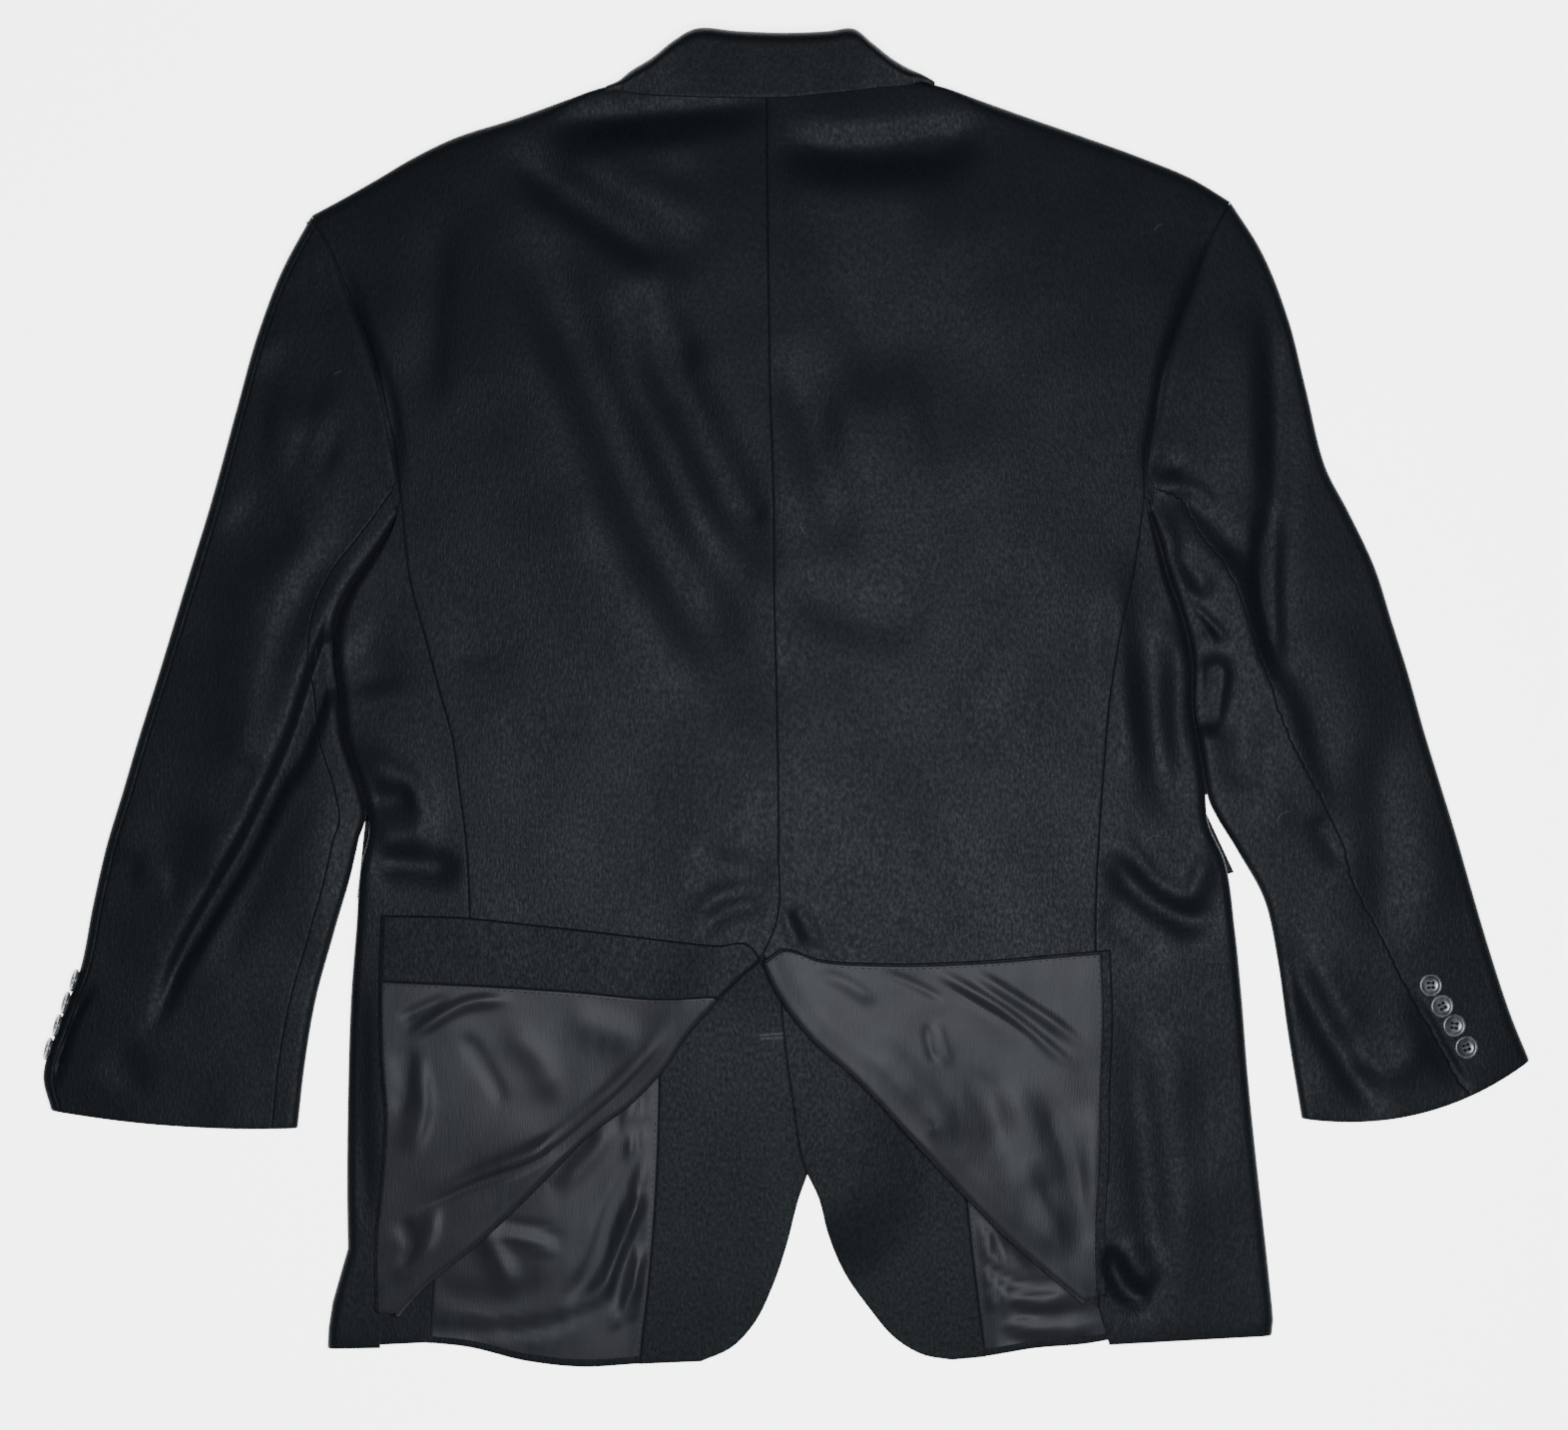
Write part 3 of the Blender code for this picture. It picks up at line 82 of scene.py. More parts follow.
# a smooth line through the points, with the same number of steps between each two
def fineLine(points):
    points = np.array(points, float)
    if len(points) == 2:
        return resampled(points, evenly(lineSteps + 1))
    chord = lengths(points)
    slope = np.gradient(points, chord, axis=0)
    fine = np.linspace(0, chord[-1], lineSteps * (len(points) - 1) + 1)
    index = np.clip(np.searchsorted(chord, fine, side="right") - 1, 0, len(points) - 2)
    span = (chord[index + 1] - chord[index])[:, None]
    part = (fine - chord[index])[:, None] / span
    return (
        (2 * part**3 - 3 * part**2 + 1) * points[index]
        + (part**3 - 2 * part**2 + part) * span * slope[index]
        + (3 * part**2 - 2 * part**3) * points[index + 1]
        + (part**3 - part**2) * span * slope[index + 1]
    )


def curve(points, count):
    return resampled(fineLine(points), evenly(count))


def unit(vectors):
    return vectors / np.maximum(np.linalg.norm(vectors, axis=-1, keepdims=True), 1e-9)


# unit vectors at right angles to a plan line, to the left of its direction
def squareOn(line):
    along = unit(np.gradient(line, axis=0))
    return np.stack([-along[:, 1], along[:, 0]], axis=1)


# distance to a plan line, share of its length at the nearest place and side of it, for each point
def nearest(points, line):
    start, step = line[:-1], np.diff(line, axis=0)
    away = points[:, None, :] - start[None]
    share = np.clip((away * step).sum(-1) / np.maximum((step * step).sum(-1), 1e-9), 0, 1)
    gap = np.linalg.norm(away - share[..., None] * step, axis=-1)
    best = gap.argmin(axis=1)
    rows = np.arange(len(points))
    run = lengths(line)
    along = run[best] + share[rows, best] * (run[best + 1] - run[best])
    side = step[best, 0] * away[rows, best, 1] - step[best, 1] * away[rows, best, 0]
    return gap[rows, best], along / run[-1], side


# whether each plan point is inside a closed outline
def inside(points, outline):
    found = np.zeros(len(points), bool)
    for (ax, ay), (bx, by) in zip(outline, np.roll(outline, -1, axis=0)):
        crosses = (ay > points[:, 1]) != (by > points[:, 1])
        level = by - ay if by != ay else 1e-9
        found ^= crosses & (points[:, 0] < (bx - ax) * (points[:, 1] - ay) / level + ax)
    return found


# height that the folds add at each plan point; a fold has a width on its left and one on its right
def relief(points, folds):
    total = np.zeros(len(points))
    for left, right, height, *path in folds:
        line = curve(path, foldSteps)
        reach = foldReach * max(left, right)
        near = np.all(
            (points > line.min(axis=0) - reach) & (points < line.max(axis=0) + reach), axis=1
        )
        if not near.any():
            continue
        gap, share, side = nearest(points[near], line)
        width = np.where(side > 0, left, right)
        taper = smooth(share / foldTaper) * smooth((1 - share) / foldTaper)
        total[near] += height * taper * np.exp(-((gap / width) ** 2))
    return total


# a soft, uneven surface: waves in many directions, with lengths between shortest and longest
def unevenness(points, height, shortest, longest, seed):
    random = np.random.default_rng(seed)
    total = np.zeros(len(points))
    for _ in range(waveCount):
        turn = random.uniform(0, 2 * math.pi)
        length = math.exp(random.uniform(math.log(shortest), math.log(longest)))
        wave = np.array([math.cos(turn), math.sin(turn)]) * 2 * math.pi / length
        total += np.cos(points @ wave + random.uniform(0, 2 * math.pi))
    return height * total / math.sqrt(waveCount / 2)


# thickness of each cloth, and how far the pieces stay apart
walls = {
    "wool": 2.0,
    "flap": 1.6,
    "lining": 1.0,
    "under": 2.4,
    "seamGap": 0.16,
    "layerGap": 0.35,
    # how far an edge is rounded: a free one from both faces, a seam from the outer one
    "freeReach": 1.3,
    "seamReach": 1.5,
    "seamDepth": 0.4,
    "roundShare": 0.42,
    "joinSoftness": 0.25,
    # the strip under a seam: how far below it, how thick, and how far to each side
    "allowanceDrop": 0.12,
    "allowanceThickness": 0.3,
    "allowance": (-3.0, 1.0, 5.0),
    "sharpAngle": math.radians(55),
    "mostSteep": 1.4,
}


# the higher of two heights, with a soft join where they cross
def softHigher(one, other):
    return (one + other + np.sqrt((one - other) ** 2 + walls["joinSoftness"] * one * other)) / 2


# how much longer a vertical cut through the cloth is than its thickness
def steepness(height, points):
    here = height(points)
    slopes = [height(points + step) - here for step in np.eye(2)]
    return np.minimum(np.sqrt(1 + slopes[0] ** 2 + slopes[1] ** 2), walls["mostSteep"])


# plan grid between four edges: columns run from inner to outer, rows from top to bottom
def patch(top, bottom, inner, outer):
    across = evenly(len(top))[None, :, None]
    down = evenly(len(inner))[:, None, None]
    ruled = (1 - down) * top[None] + down * bottom[None]
    ruled = ruled + (1 - across) * inner[:, None] + across * outer[:, None]
    corners = (1 - down) * ((1 - across) * top[0] + across * top[-1])
    corners = corners + down * ((1 - across) * bottom[0] + across * bottom[-1])
    return ruled - corners


# grid of 3-D points over a plan grid, at a height function, less a wall measured square to it
def raised(plan, height, wall=0.0):
    flat = plan.reshape(-1, 2)
    level = height(flat)
    if wall:
        level = level - wall * steepness(height, flat)
    return np.concatenate([plan, level.reshape(plan.shape[:2] + (1,))], axis=2)


# the grid turned so that the named edge is its first line
def edgeFirst(grid, edge):
    if edge in ("first", "last"):
        grid = grid.swapaxes(0, 1)
    return grid[::-1] if edge in ("bottom", "last") else grid


def edgeBack(grid, edge):
    grid = grid[::-1] if edge in ("bottom", "last") else grid
    return grid.swapaxes(0, 1) if edge in ("first", "last") else grid


# pulls the named edges of a wall in by half a seam gap, in plan
def drawnIn(outer, inner, edges, gap=None):
    gap = walls["seamGap"] / 2 if gap is None else gap
    for edge in edges:
        turned = edgeFirst(outer, edge)
        step = unit(turned[1, :, :2] - turned[0, :, :2]) * gap
        for grid in (outer, inner):
            edgeFirst(grid, edge)[0, :, :2] += step


# rounds a wall's edges: free ones from both faces, seams down from the outer face
def softened(outer, inner, free=(), seams=()):
    shares = np.array([0.0, 0.07, 0.25, 0.55, 1.0])
    most = np.array([0.0, 0.07, 0.25, 0.5, 0.8])[:, None]
    for edge in (*seams, *free):
        reach = walls["freeReach"] if edge in free else walls["seamReach"]
        turned = []
        for grid in (outer, inner):
            grid = edgeFirst(grid, edge)
            step = grid[1] - grid[0]
            span = np.maximum(np.linalg.norm(step, axis=1), 1e-6)
            along = np.minimum(shares[:, None] * reach / span, most)
            added = grid[0][None] + step[None] * along[..., None]
            turned.append(np.concatenate([added, grid[1:]]))
        upper, lower = turned
        count = len(shares)
        through = lower[:count] - upper[:count]
        thick = np.linalg.norm(through, axis=2, keepdims=True)
        through = through / np.maximum(thick, 1e-6)
        fall = (1 - np.sqrt(1 - (1 - shares) ** 2))[:, None, None]
        if edge in free:
            upper[:count] += through * fall * thick * walls["roundShare"]
            lower[:count] -= through * fall * thick * walls["roundShare"]
        else:
            upper[:count] += through * fall * np.minimum(walls["seamDepth"], thick * 0.5)
        outer, inner = edgeBack(upper, edge), edgeBack(lower, edge)
    return outer, inner


# a thin strip inside the garment, under a seam, that no light passes
def seamAllowance(outer, inner, edge):
    upper, lower = edgeFirst(outer, edge), edgeFirst(inner, edge)
    away = unit(upper[0] - upper[1])
    through = unit(lower[0] - upper[0])
    start = lower[0] + through * walls["allowanceDrop"]
    upper = [start + away * reach for reach in walls["allowance"]]
    lower = [line + through * walls["allowanceThickness"] for line in upper]
    rows = upper + lower[::-1]
    count = len(rows[0])
    first = np.arange(count - 1)
    faces = []
    for row in range(6):
        after = (row + 1) % 6
        near, far = first + row * count, first + after * count
        faces.append(np.stack([near, near + 1, far + 1, far], -1))
    ends = [[5 * count, 4 * count, count, 0], [4 * count, 3 * count, 2 * count, count]]
    ends += [[corner + count - 1 for corner in end][::-1] for end in ends]
    return np.concatenate(rows), [np.concatenate([*faces, ends])]


def signedVolume(points, groups):
    total = 0.0
    for faces in groups:
        corners = points[faces]
        for place in range(1, corners.shape[1] - 1):
            cross = np.cross(corners[:, place], corners[:, place + 1])
            total += np.einsum("ij,ij->i", corners[:, 0], cross).sum()
    return total


def plainObject(name, points, faces):
    mesh = bpy.data.meshes.new(name)
    mesh.from_pydata(np.asarray(points).tolist(), [], faces)
    piece = bpy.data.objects.new(name.replace("_", "-").replace(" ", "-"), mesh)
    bpy.context.scene.collection.objects.link(piece)
    return piece


# makes one outward-facing mesh object of closed shells, each with its points and groups of
# faces with the same number of sides
def finishMesh(name, shells, material):
    allPoints, allFaces, base = [], [], 0
    for points, groups in shells:
        points = np.array(points, float)
        inward = signedVolume(points, groups) < 0
        for faces in groups:
            allFaces += ((faces[:, ::-1] if inward else faces) + base).tolist()
        allPoints.append(points)
        base += len(points)
    corners = np.concatenate(allPoints) + shift
    # nothing goes below the surface the blazer lies on
    corners[:, 2] = np.maximum(corners[:, 2], 0.0)
    piece = plainObject(name, corners * mm, allFaces)
    piece.data.materials.append(material)
    piece.data.shade_smooth()
    piece.data.set_sharp_from_angle(angle=walls["sharpAngle"])
    made[name] = piece
    return piece


# a cloth wall between two grids of points, closed by a rim all round; its cut size is kept
def wall(name, outer, inner, material, free=(), seams=(), covers=(), extra=()):
    middle = (outer + inner) / 2
    size = [
        np.linalg.norm(np.diff(middle, axis=axis), axis=2).sum(axis=axis).max() for axis in (1, 0)
    ]
    u = middle[1:, :-1] - middle[:-1, :-1]
    v = middle[:-1, 1:] - middle[:-1, :-1]
    area = np.linalg.norm(np.cross(u, v), axis=2).sum()
    cutSizes[name] = (size[0] * mm, size[1] * mm, area * mm**2)
    outerFaces[name] = outer
    strips = [seamAllowance(outer, inner, edge) for edge in covers]
    outer, inner = softened(outer, inner, free, seams)
    rows, columns = outer.shape[:2]
    points = np.concatenate([outer.reshape(-1, 3), inner.reshape(-1, 3)])
    index = np.arange(rows * columns).reshape(rows, columns)
    top = np.stack(
        [index[:-1, :-1], index[:-1, 1:], index[1:, 1:], index[1:, :-1]], -1
    ).reshape(-1, 4)
    faces = [top, top[:, ::-1] + rows * columns]
    for line in (index[0, ::-1], index[:, 0], index[-1], index[::-1, -1]):
        near, far = line[:-1], line[1:]
        faces.append(np.stack([near, far, far + rows * columns, near + rows * columns], -1))
    finishMesh(name, [(points, faces), *strips, *extra], material)


# the two back panels
back = {
    "columns": 84,
    "armholeRows": 44,
    "sideRows": 112,
    "shoulderSteps": 6,
    "shoulderRadius": 7.0,
    "shoulderSeam": 5.6,
    "neckRadius": 2.6,
    "neckShare": 0.36,
    "neckBlend": 0.12,
    "liftRamp": 120.0,
    "softening": 0.8,
    "halfWidth": 265.0,
    "foldPoints": 10,  # how many points of the flap's fold bound the back
    "uneven": 0.2,
    "unevenLengths": (45.0, 150.0),
    "seed": 3,
    "centreSeam": [
        (-12, 382), (-11, 283.5), (-10, 214), (-8, 142.5), (-7, 62), (-5.5, 0), (-4.5, -93),
        (-6, -139.5), (-13.5, -157),
    ],
    "leftShoulder": [
        (-12, 383), (-54, 383), (-85, 382), (-109.5, 379.5), (-134.5, 371.5), (-168.5, 359.5),
        (-207, 347), (-231.5, 335), (-253.5, 322), (-274.5, 310), (-294, 299.5),
    ],
    "rightShoulder": [
        (-12, 383), (45.5, 384), (70, 384), (95, 379.5), (119, 371.5), (153, 359.5), (189, 347),
        (222, 335), (253, 322), (276, 308),
    ],
    "leftArmhole": [
        (-294, 299.5), (-284, 282), (-273.5, 258), (-265.5, 240.5), (-257.5, 222), (-251, 198),
        (-246, 174), (-241, 150.5), (-238.5, 124),
    ],
    "rightArmhole": [
        (276, 308), (261, 282), (250.5, 255.5), (239.5, 228), (232, 204.5), (227, 175.5),
        (222.5, 152), (222.5, 125),
    ],
    # how far it stands off the fronts it lies on: y, at the middle, at the sides
    "loft": [
        (395, 4.0, 5.0), (330, 4.6, 5.1), (250, 4.8, 5.1), (60, 4.6, 4.9), (-60, 4.7, 4.9),
        (-160, 4.8, 5.0), (-430, 5.0, 5.0),
    ],
    "folds": [
        # under the collar
        (9, 11, -3.7, (-156, 353), (-116, 357.5), (-54, 364.5), (2, 368.5)),
        (11, 15, 1.9, (-140.5, 341), (-91, 342), (-41.5, 341)),
        (11, 16, -5.6, (-10.5, 347), (17.5, 340.5), (51.5, 339), (88.5, 343.5), (132, 353.5)),
        (17.5, 37.5, 2.2, (-16.5, 323.5), (39, 319.5), (101, 327.5)),
        # from the left of the neck down to the centre seam
        (15, 12.5, -4.3, (-178, 348.5), (-159.5, 330), (-140.5, 315), (-113, 296.5), (-85, 278),
         (-60, 254)),
        (15, 12.5, 1.9, (-153, 341), (-116, 325.5), (-78.5, 313), (-47.5, 285)),
        (15, 17.5, -2.2, (-91, 266.5), (-75.5, 235.5), (-57, 198.5)),
        (21, 21, -5.1, (-170.5, 325.5), (-156, 285), (-139.5, 248), (-122, 211), (-105.5, 173.5),
         (-88, 124), (-63, 74.5), (-44.5, 37), (-28, 3), (-12, -31)),
        (21, 32.5, 2.6, (-201.5, 300.5), (-185.5, 257.5), (-167.5, 220), (-150, 183),
         (-133.5, 142.5), (-114, 90), (-90, 43.5), (-71.5, 6), (-54, -25)),
        (16, 20, -4.8, (-91, 257.5), (-76.5, 217), (-55, 170.5), (-36.5, 130), (-21, 96),
         (-7.5, 62)),
        (14, 17.5, 2, (-119, 235.5), (-96, 192), (-71.5, 149), (-49, 105.5), (-32, 68)),
        # right of the centre seam
        (15, 15, -2.3, (-3, 229.5), (8, 192), (21.5, 155), (30, 111.5), (33, 68)),
        (20, 17.5, -2, (8, 87), (23.5, 62), (51.5, 48.5), (95, 48.5)),
        (45, 55, -1.9, (26.5, 201.5), (70, 211), (138.5, 214)),
        (30, 50, 1.6, (20.5, 180), (57.5, 173.5), (95, 180)),
        (4, 5, -1.1, (-36.5, 119), (-24, 115.5), (-10.5, 115.5)),
        (3, 4, -0.62, (-210, 31), (-196.5, 26), (-181, 25)),
        (10, 15, -1.2, (-212, 310), (-217, 248), (-222.5, 167.5)),
        # over the vent
        (10, 17.5, -2, (-60, -98), (-38.5, -104), (-13.5, -110.5), (-1, -108.5)),
        (6, 6.5, 1.2, (-60, -142.5), (-51, -129), (-32, -119), (-10.5, -118), (3, -119.5)),
        (5, 6, -1.5, (-55, -147.5), (-40.5, -133.5), (-21.5, -127.5), (-7.5, -129)),
        (5, 6, 1.5, (3, -127), (13, -139.5), (21.5, -155)),
        (5, 5, -1.5, (-2.5, -127), (3.5, -141.5), (8, -158)),
        # left side
        (7.5, 9, -2.5, (-261.5, -60), (-246, -62), (-229, -57.5)),
        (9, 10, 2.3, (-271, -32), (-249, -43.5), (-229, -57.5), (-224.5, -71.5), (-237, -85.5)),
        (9, 10, -4, (-260, -100.5), (-240, -101.5), (-218, -104), (-198, -106.5)),
        (10, 10, 2.2, (-257.5, -88), (-233.5, -85.5), (-215, -88)),
        (15, 17.5, -1.9, (-271, 37), (-258.5, 25), (-252.5, 0)),
        (7.5, 10, -1.9, (-263.5, -155), (-264.5, -248), (-260, -341)),
        # right side
        (10, 11, 2.5, (205, 96), (206.5, 37), (211, -12.5), (222, -62)),
        (11, 12.5, -2.8, (224, 49.5), (227, 0), (231.5, -49.5), (240.5, -87)),
        (7.5, 9, 2.8, (233, 56), (243.5, 25), (243.5, -12.5), (253, -56)),
        (6, 9, 2.8, (200.5, -77.5), (216, -100.5), (234.5, -119.5), (247, -123), (258, -104),
         (263.5, -77.5)),
        (9, 10, -5.3, (199, -90), (216, -114.5), (234.5, -129), (253.5, -136.5), (269.5, -124)),
        (7.5, 11, -1.6, (194, -124), (216, -145.5), (240.5, -158)),
        (10, 12.5, -2.5, (214.5, -186), (219, -244.5), (225, -310), (233, -387.5)),
        (12.5, 15, 1.6, (237.5, -186), (243.5, -279), (250, -372)),
        (5.5, 5, -9.4, (201.5, -338.5), (204, -354.5), (212.5, -367.5), (229, -374.5)),
        (10, 11, 2.5, (214, -335), (219, -352), (231.5, -362.5)),
        # the armhole seams
        (3.5, 3.5, -2, (-285, 286.5), (-271.5, 257.5), (-257.5, 219.5), (-246, 186),
         (-240.5, 148), (-238.5, 121)),
        (3.5, 3.5, -2, (269.5, 306.5), (263, 289), (248.5, 251), (236, 212.5), (229.5, 175),
         (223, 145.5), (222.5, 125)),
    ],
}


# height above the fronts' outer face of cloth that lies on them, at the given loft or at none
def overFronts(loft):
    lifted = (loft + np.sqrt(loft**2 + back["softening"] ** 2)) / 2
    return 2 * walls["wool"] + walls["layerGap"] + lifted


# height of the back's outer face
def bodyHeight(points):
    level, middle, edges = np.array(back["loft"][::-1], float).T
    low = np.interp(points[:, 1], level, middle)
    high = np.interp(points[:, 1], level, edges)
    across = np.abs(points[:, 0] / back["halfWidth"])
    loft = low + (high - low) * across**2 + relief(points, back["folds"])
    loft = loft + unevenness(points, back["uneven"], *back["unevenLengths"], seed=back["seed"])
    return overlapHeight(points, back["liftRamp"], softHigher) + overFronts(loft)


# the line where the shoulder's round edge starts, with its outward direction and radius
def shoulderStart(outline, count, neckShare):
    fine = fineLine(outline)
    square = squareOn(fine)
    square *= np.sign(square[:, 1:2])
    share = evenly(count)
    edge = resampled(fine, share)
    at = share * lengths(fine)[-1]
    outward = np.column_stack([np.interp(at, lengths(fine), square[:, axis]) for axis in range(2)])
    roundPart = smooth((share - neckShare) / back["neckBlend"])
    radius = back["neckRadius"] + (back["shoulderRadius"] - back["neckRadius"]) * roundPart
    return edge - outward * radius[:, None], outward, radius


# fine line of the armhole from the shoulder's tip, through the start of the shoulder's round edge
def armholeLine(outline, start):
    return fineLine([outline[0], tuple(start), *outline[1:]])


# the part of a fine line that lies past the point nearest to start
def below(line, start):
    first = np.linalg.norm(line - start, axis=1).argmin()
    return np.vstack([start, line[first + 1 :]])


# outer and inner rows of a quarter round from the flat cloth to the shoulder seam
def shoulderRows(start, outward, radius, level, seam, thickness):
    outer, inner = [], []
    drop = level - seam
    for step in range(back["shoulderSteps"], 0, -1):
        turn = math.pi / 2 * step / back["shoulderSteps"]
        for rows, cut in ((outer, 0.0), (inner, thickness)):
            plan = start + outward * ((radius - cut) * math.sin(turn))[:, None]
            high = seam + (drop - np.sign(drop) * cut) * math.cos(turn)
            rows.append(np.column_stack([plan, high]))
    return np.array(outer), np.array(inner)


def backPanel(side, material):
    start, outward, radius = shoulderStart(
        back[side + "Shoulder"], back["columns"], back["neckShare"]
    )
    arm = below(armholeLine(back[side + "Armhole"], start[-1]), start[-1])
    arm = resampled(arm, evenly(back["armholeRows"]))
    outerLine = np.vstack([arm, curve(sides[side + "Seam"], back["sideRows"])[1:]])
    seam = fineLine([tuple(start[0]), *back["centreSeam"][1:]])
    innerLine = resampled(seam, evenly(len(outerLine)))
    fold = curve(flaps[side + "Fold"][: back["foldPoints"]], back["columns"])
    plan = patch(start, fold, innerLine, outerLine)
    outer = raised(plan, bodyHeight)
    inner = raised(plan, bodyHeight, walls["wool"])
    level = outer[0, :, 2]
    roundPart = (radius - back["neckRadius"]) / (back["shoulderRadius"] - back["neckRadius"])
    neckSeam = level - back["neckRadius"]
    seamHeight = neckSeam + (back["shoulderSeam"] - neckSeam) * roundPart
    seamHeight += walls["seamGap"] / 2
    top, under = shoulderRows(start, outward, radius, level, seamHeight, walls["wool"])
    outer = np.concatenate([top, outer])
    inner = np.concatenate([under, inner])
    drawnIn(outer, inner, ("bottom",), flaps["foldGap"] / 2)
    drawnIn(outer, inner, ("first", "last"))
    around = ("top", "first", "last")
    wall("back_" + side, outer, inner, material, seams=around, covers=("first", "last"))


# the side panels, which turn round the body's edge
sides = {
    "columns": (30, 6),
    "edgeRadius": 6.5,
    "edgeSteps": 12,
    "edgeShare": 0.55,
    "leftSeam": [
        (-238.5, 124), (-232, 70), (-222, 33.5), (-214, 3.5), (-207, -21), (-202, -56),
        (-198, -87), (-195.5, -136.5), (-194.5, -186), (-194, -260.5), (-194, -335.5),
    ],
    "rightSeam": [
        (222.5, 125), (220, 105.5), (213.5, 65.5), (206.5, 36), (201, 4.5), (197, -43.5),
        (194, -87), (192, -142.5), (193, -192), (194.5, -254), (196.5, -316), (194, -377.5),
    ],
    "leftEdge": [
        (-240.5, 111), (-248.5, 98.5), (-259, 83.5), (-268.5, 69.5), (-277, 51), (-279.5, 28),
        (-276.5, 3.5), (-274, -21), (-263, -56), (-258, -80.5), (-263, -104), (-266, -142.5),
        (-269.5, -186), (-271.5, -248), (-272, -310), (-271.5, -341),
    ],
    "rightEdge": [
        (225.5, 113.5), (231.5, 96), (237.5, 74.5), (246, 51), (252.5, 20), (252.5, -4.5),
        (256, -28), (260, -56), (261.5, -75.5), (272, -100.5), (278.5, -142.5), (282.5, -180),
        (287, -235.5), (292, -285), (297.5, -335), (302, -378),
    ],
    "leftUnderSeam": [
        (-238.5, 124), (-225, 62), (-219.5, 0), (-215, -62), (-213.5, -124), (-214.5, -186),
        (-216.5, -248), (-219, -335), (-222.5, -400),
    ],
    "rightUnderSeam": [
        (222.5, 125), (211.5, 62), (207, 0), (207.5, -62), (215, -124), (224, -186), (231.5, -248),
        (239.5, -322.5), (246, -393.5),
    ],
    # below the turned-up flap: seam x, y, edge x, y
    "leftFoot": [
        (-217.5, -354, -276.5, -358.5), (-242, -377.5, -281, -374.5), (-251, -393, -283.5, -390.5),
        (-251, -402.5, -284, -403),
    ],
    "rightFoot": [(197, -388, 302.5, -385.5), (200.5, -400.5, 301.5, -395)],
}


# points round a folded edge, from the upper cloth to the lower one, outer and inner
def turnedEdge(edge, over, under, radius, level, floor, thickness):
    outer, inner = [], []
    for step in range(sides["edgeSteps"] + 1):
        turn = math.pi * step / sides["edgeSteps"]
        share = step / sides["edgeSteps"]
        way = unit(over * (1 - share) + under * share)
        half = (level - floor) / 2
        for rows, cut in ((outer, 0.0), (inner, thickness)):
            reach = radius - (radius - cut) * math.sin(turn)
            high = floor + half + (half - cut) * math.cos(turn)
            rows.append(np.column_stack([edge - way * reach[:, None], high]))
    return np.array(outer).swapaxes(0, 1), np.array(inner).swapaxes(0, 1)


def acrossLines(start, end, count):
    share = evenly(count)[None, :, None]
    return start[:, None] * (1 - share) + end[:, None] * share


# a panel from the side back seam, round the body's edge, to the seam with the front
def sidePanel(side, material):
    foot = np.array(sides[side + "Foot"], float)
    seam = np.vstack([curve(sides[side + "Seam"], back["sideRows"]), foot[:, :2]])
    edge = np.vstack([curve(sides[side + "Edge"], back["sideRows"]), foot[:, 2:]])
    lower = curve(sides[side + "UnderSeam"], len(seam))
    overWay = unit(edge - seam)
    underWay = unit(edge - lower)
    reach = np.minimum(np.linalg.norm(edge - seam, axis=1), np.linalg.norm(edge - lower, axis=1))
    radius = np.minimum(sides["edgeRadius"], reach * sides["edgeShare"])
    topEnd = edge - overWay * radius[:, None]
    underEnd = edge - underWay * radius[:, None]
    top = acrossLines(seam, topEnd, sides["columns"][0])
    bottom = acrossLines(underEnd, lower, sides["columns"][1])
    topOuter = raised(top, bodyHeight)
    topInner = raised(top, bodyHeight, walls["wool"])
    bottomOuter = raised(bottom, underHeight)
    bottomInner = raised(bottom, underHeight, -walls["wool"])
    level, floor = topOuter[:, -1, 2], bottomOuter[:, 0, 2]
    turnOuter, turnInner = turnedEdge(edge, overWay, underWay, radius, level, floor, walls["wool"])
    outer = np.concatenate([topOuter, turnOuter[:, 1:-1], bottomOuter], axis=1)
    inner = np.concatenate([topInner, turnInner[:, 1:-1], bottomInner], axis=1)
    drawnIn(outer, inner, ("first", "last"))
    wall("side_" + side, outer, inner, material, free=("bottom",), seams=("first", "last"))


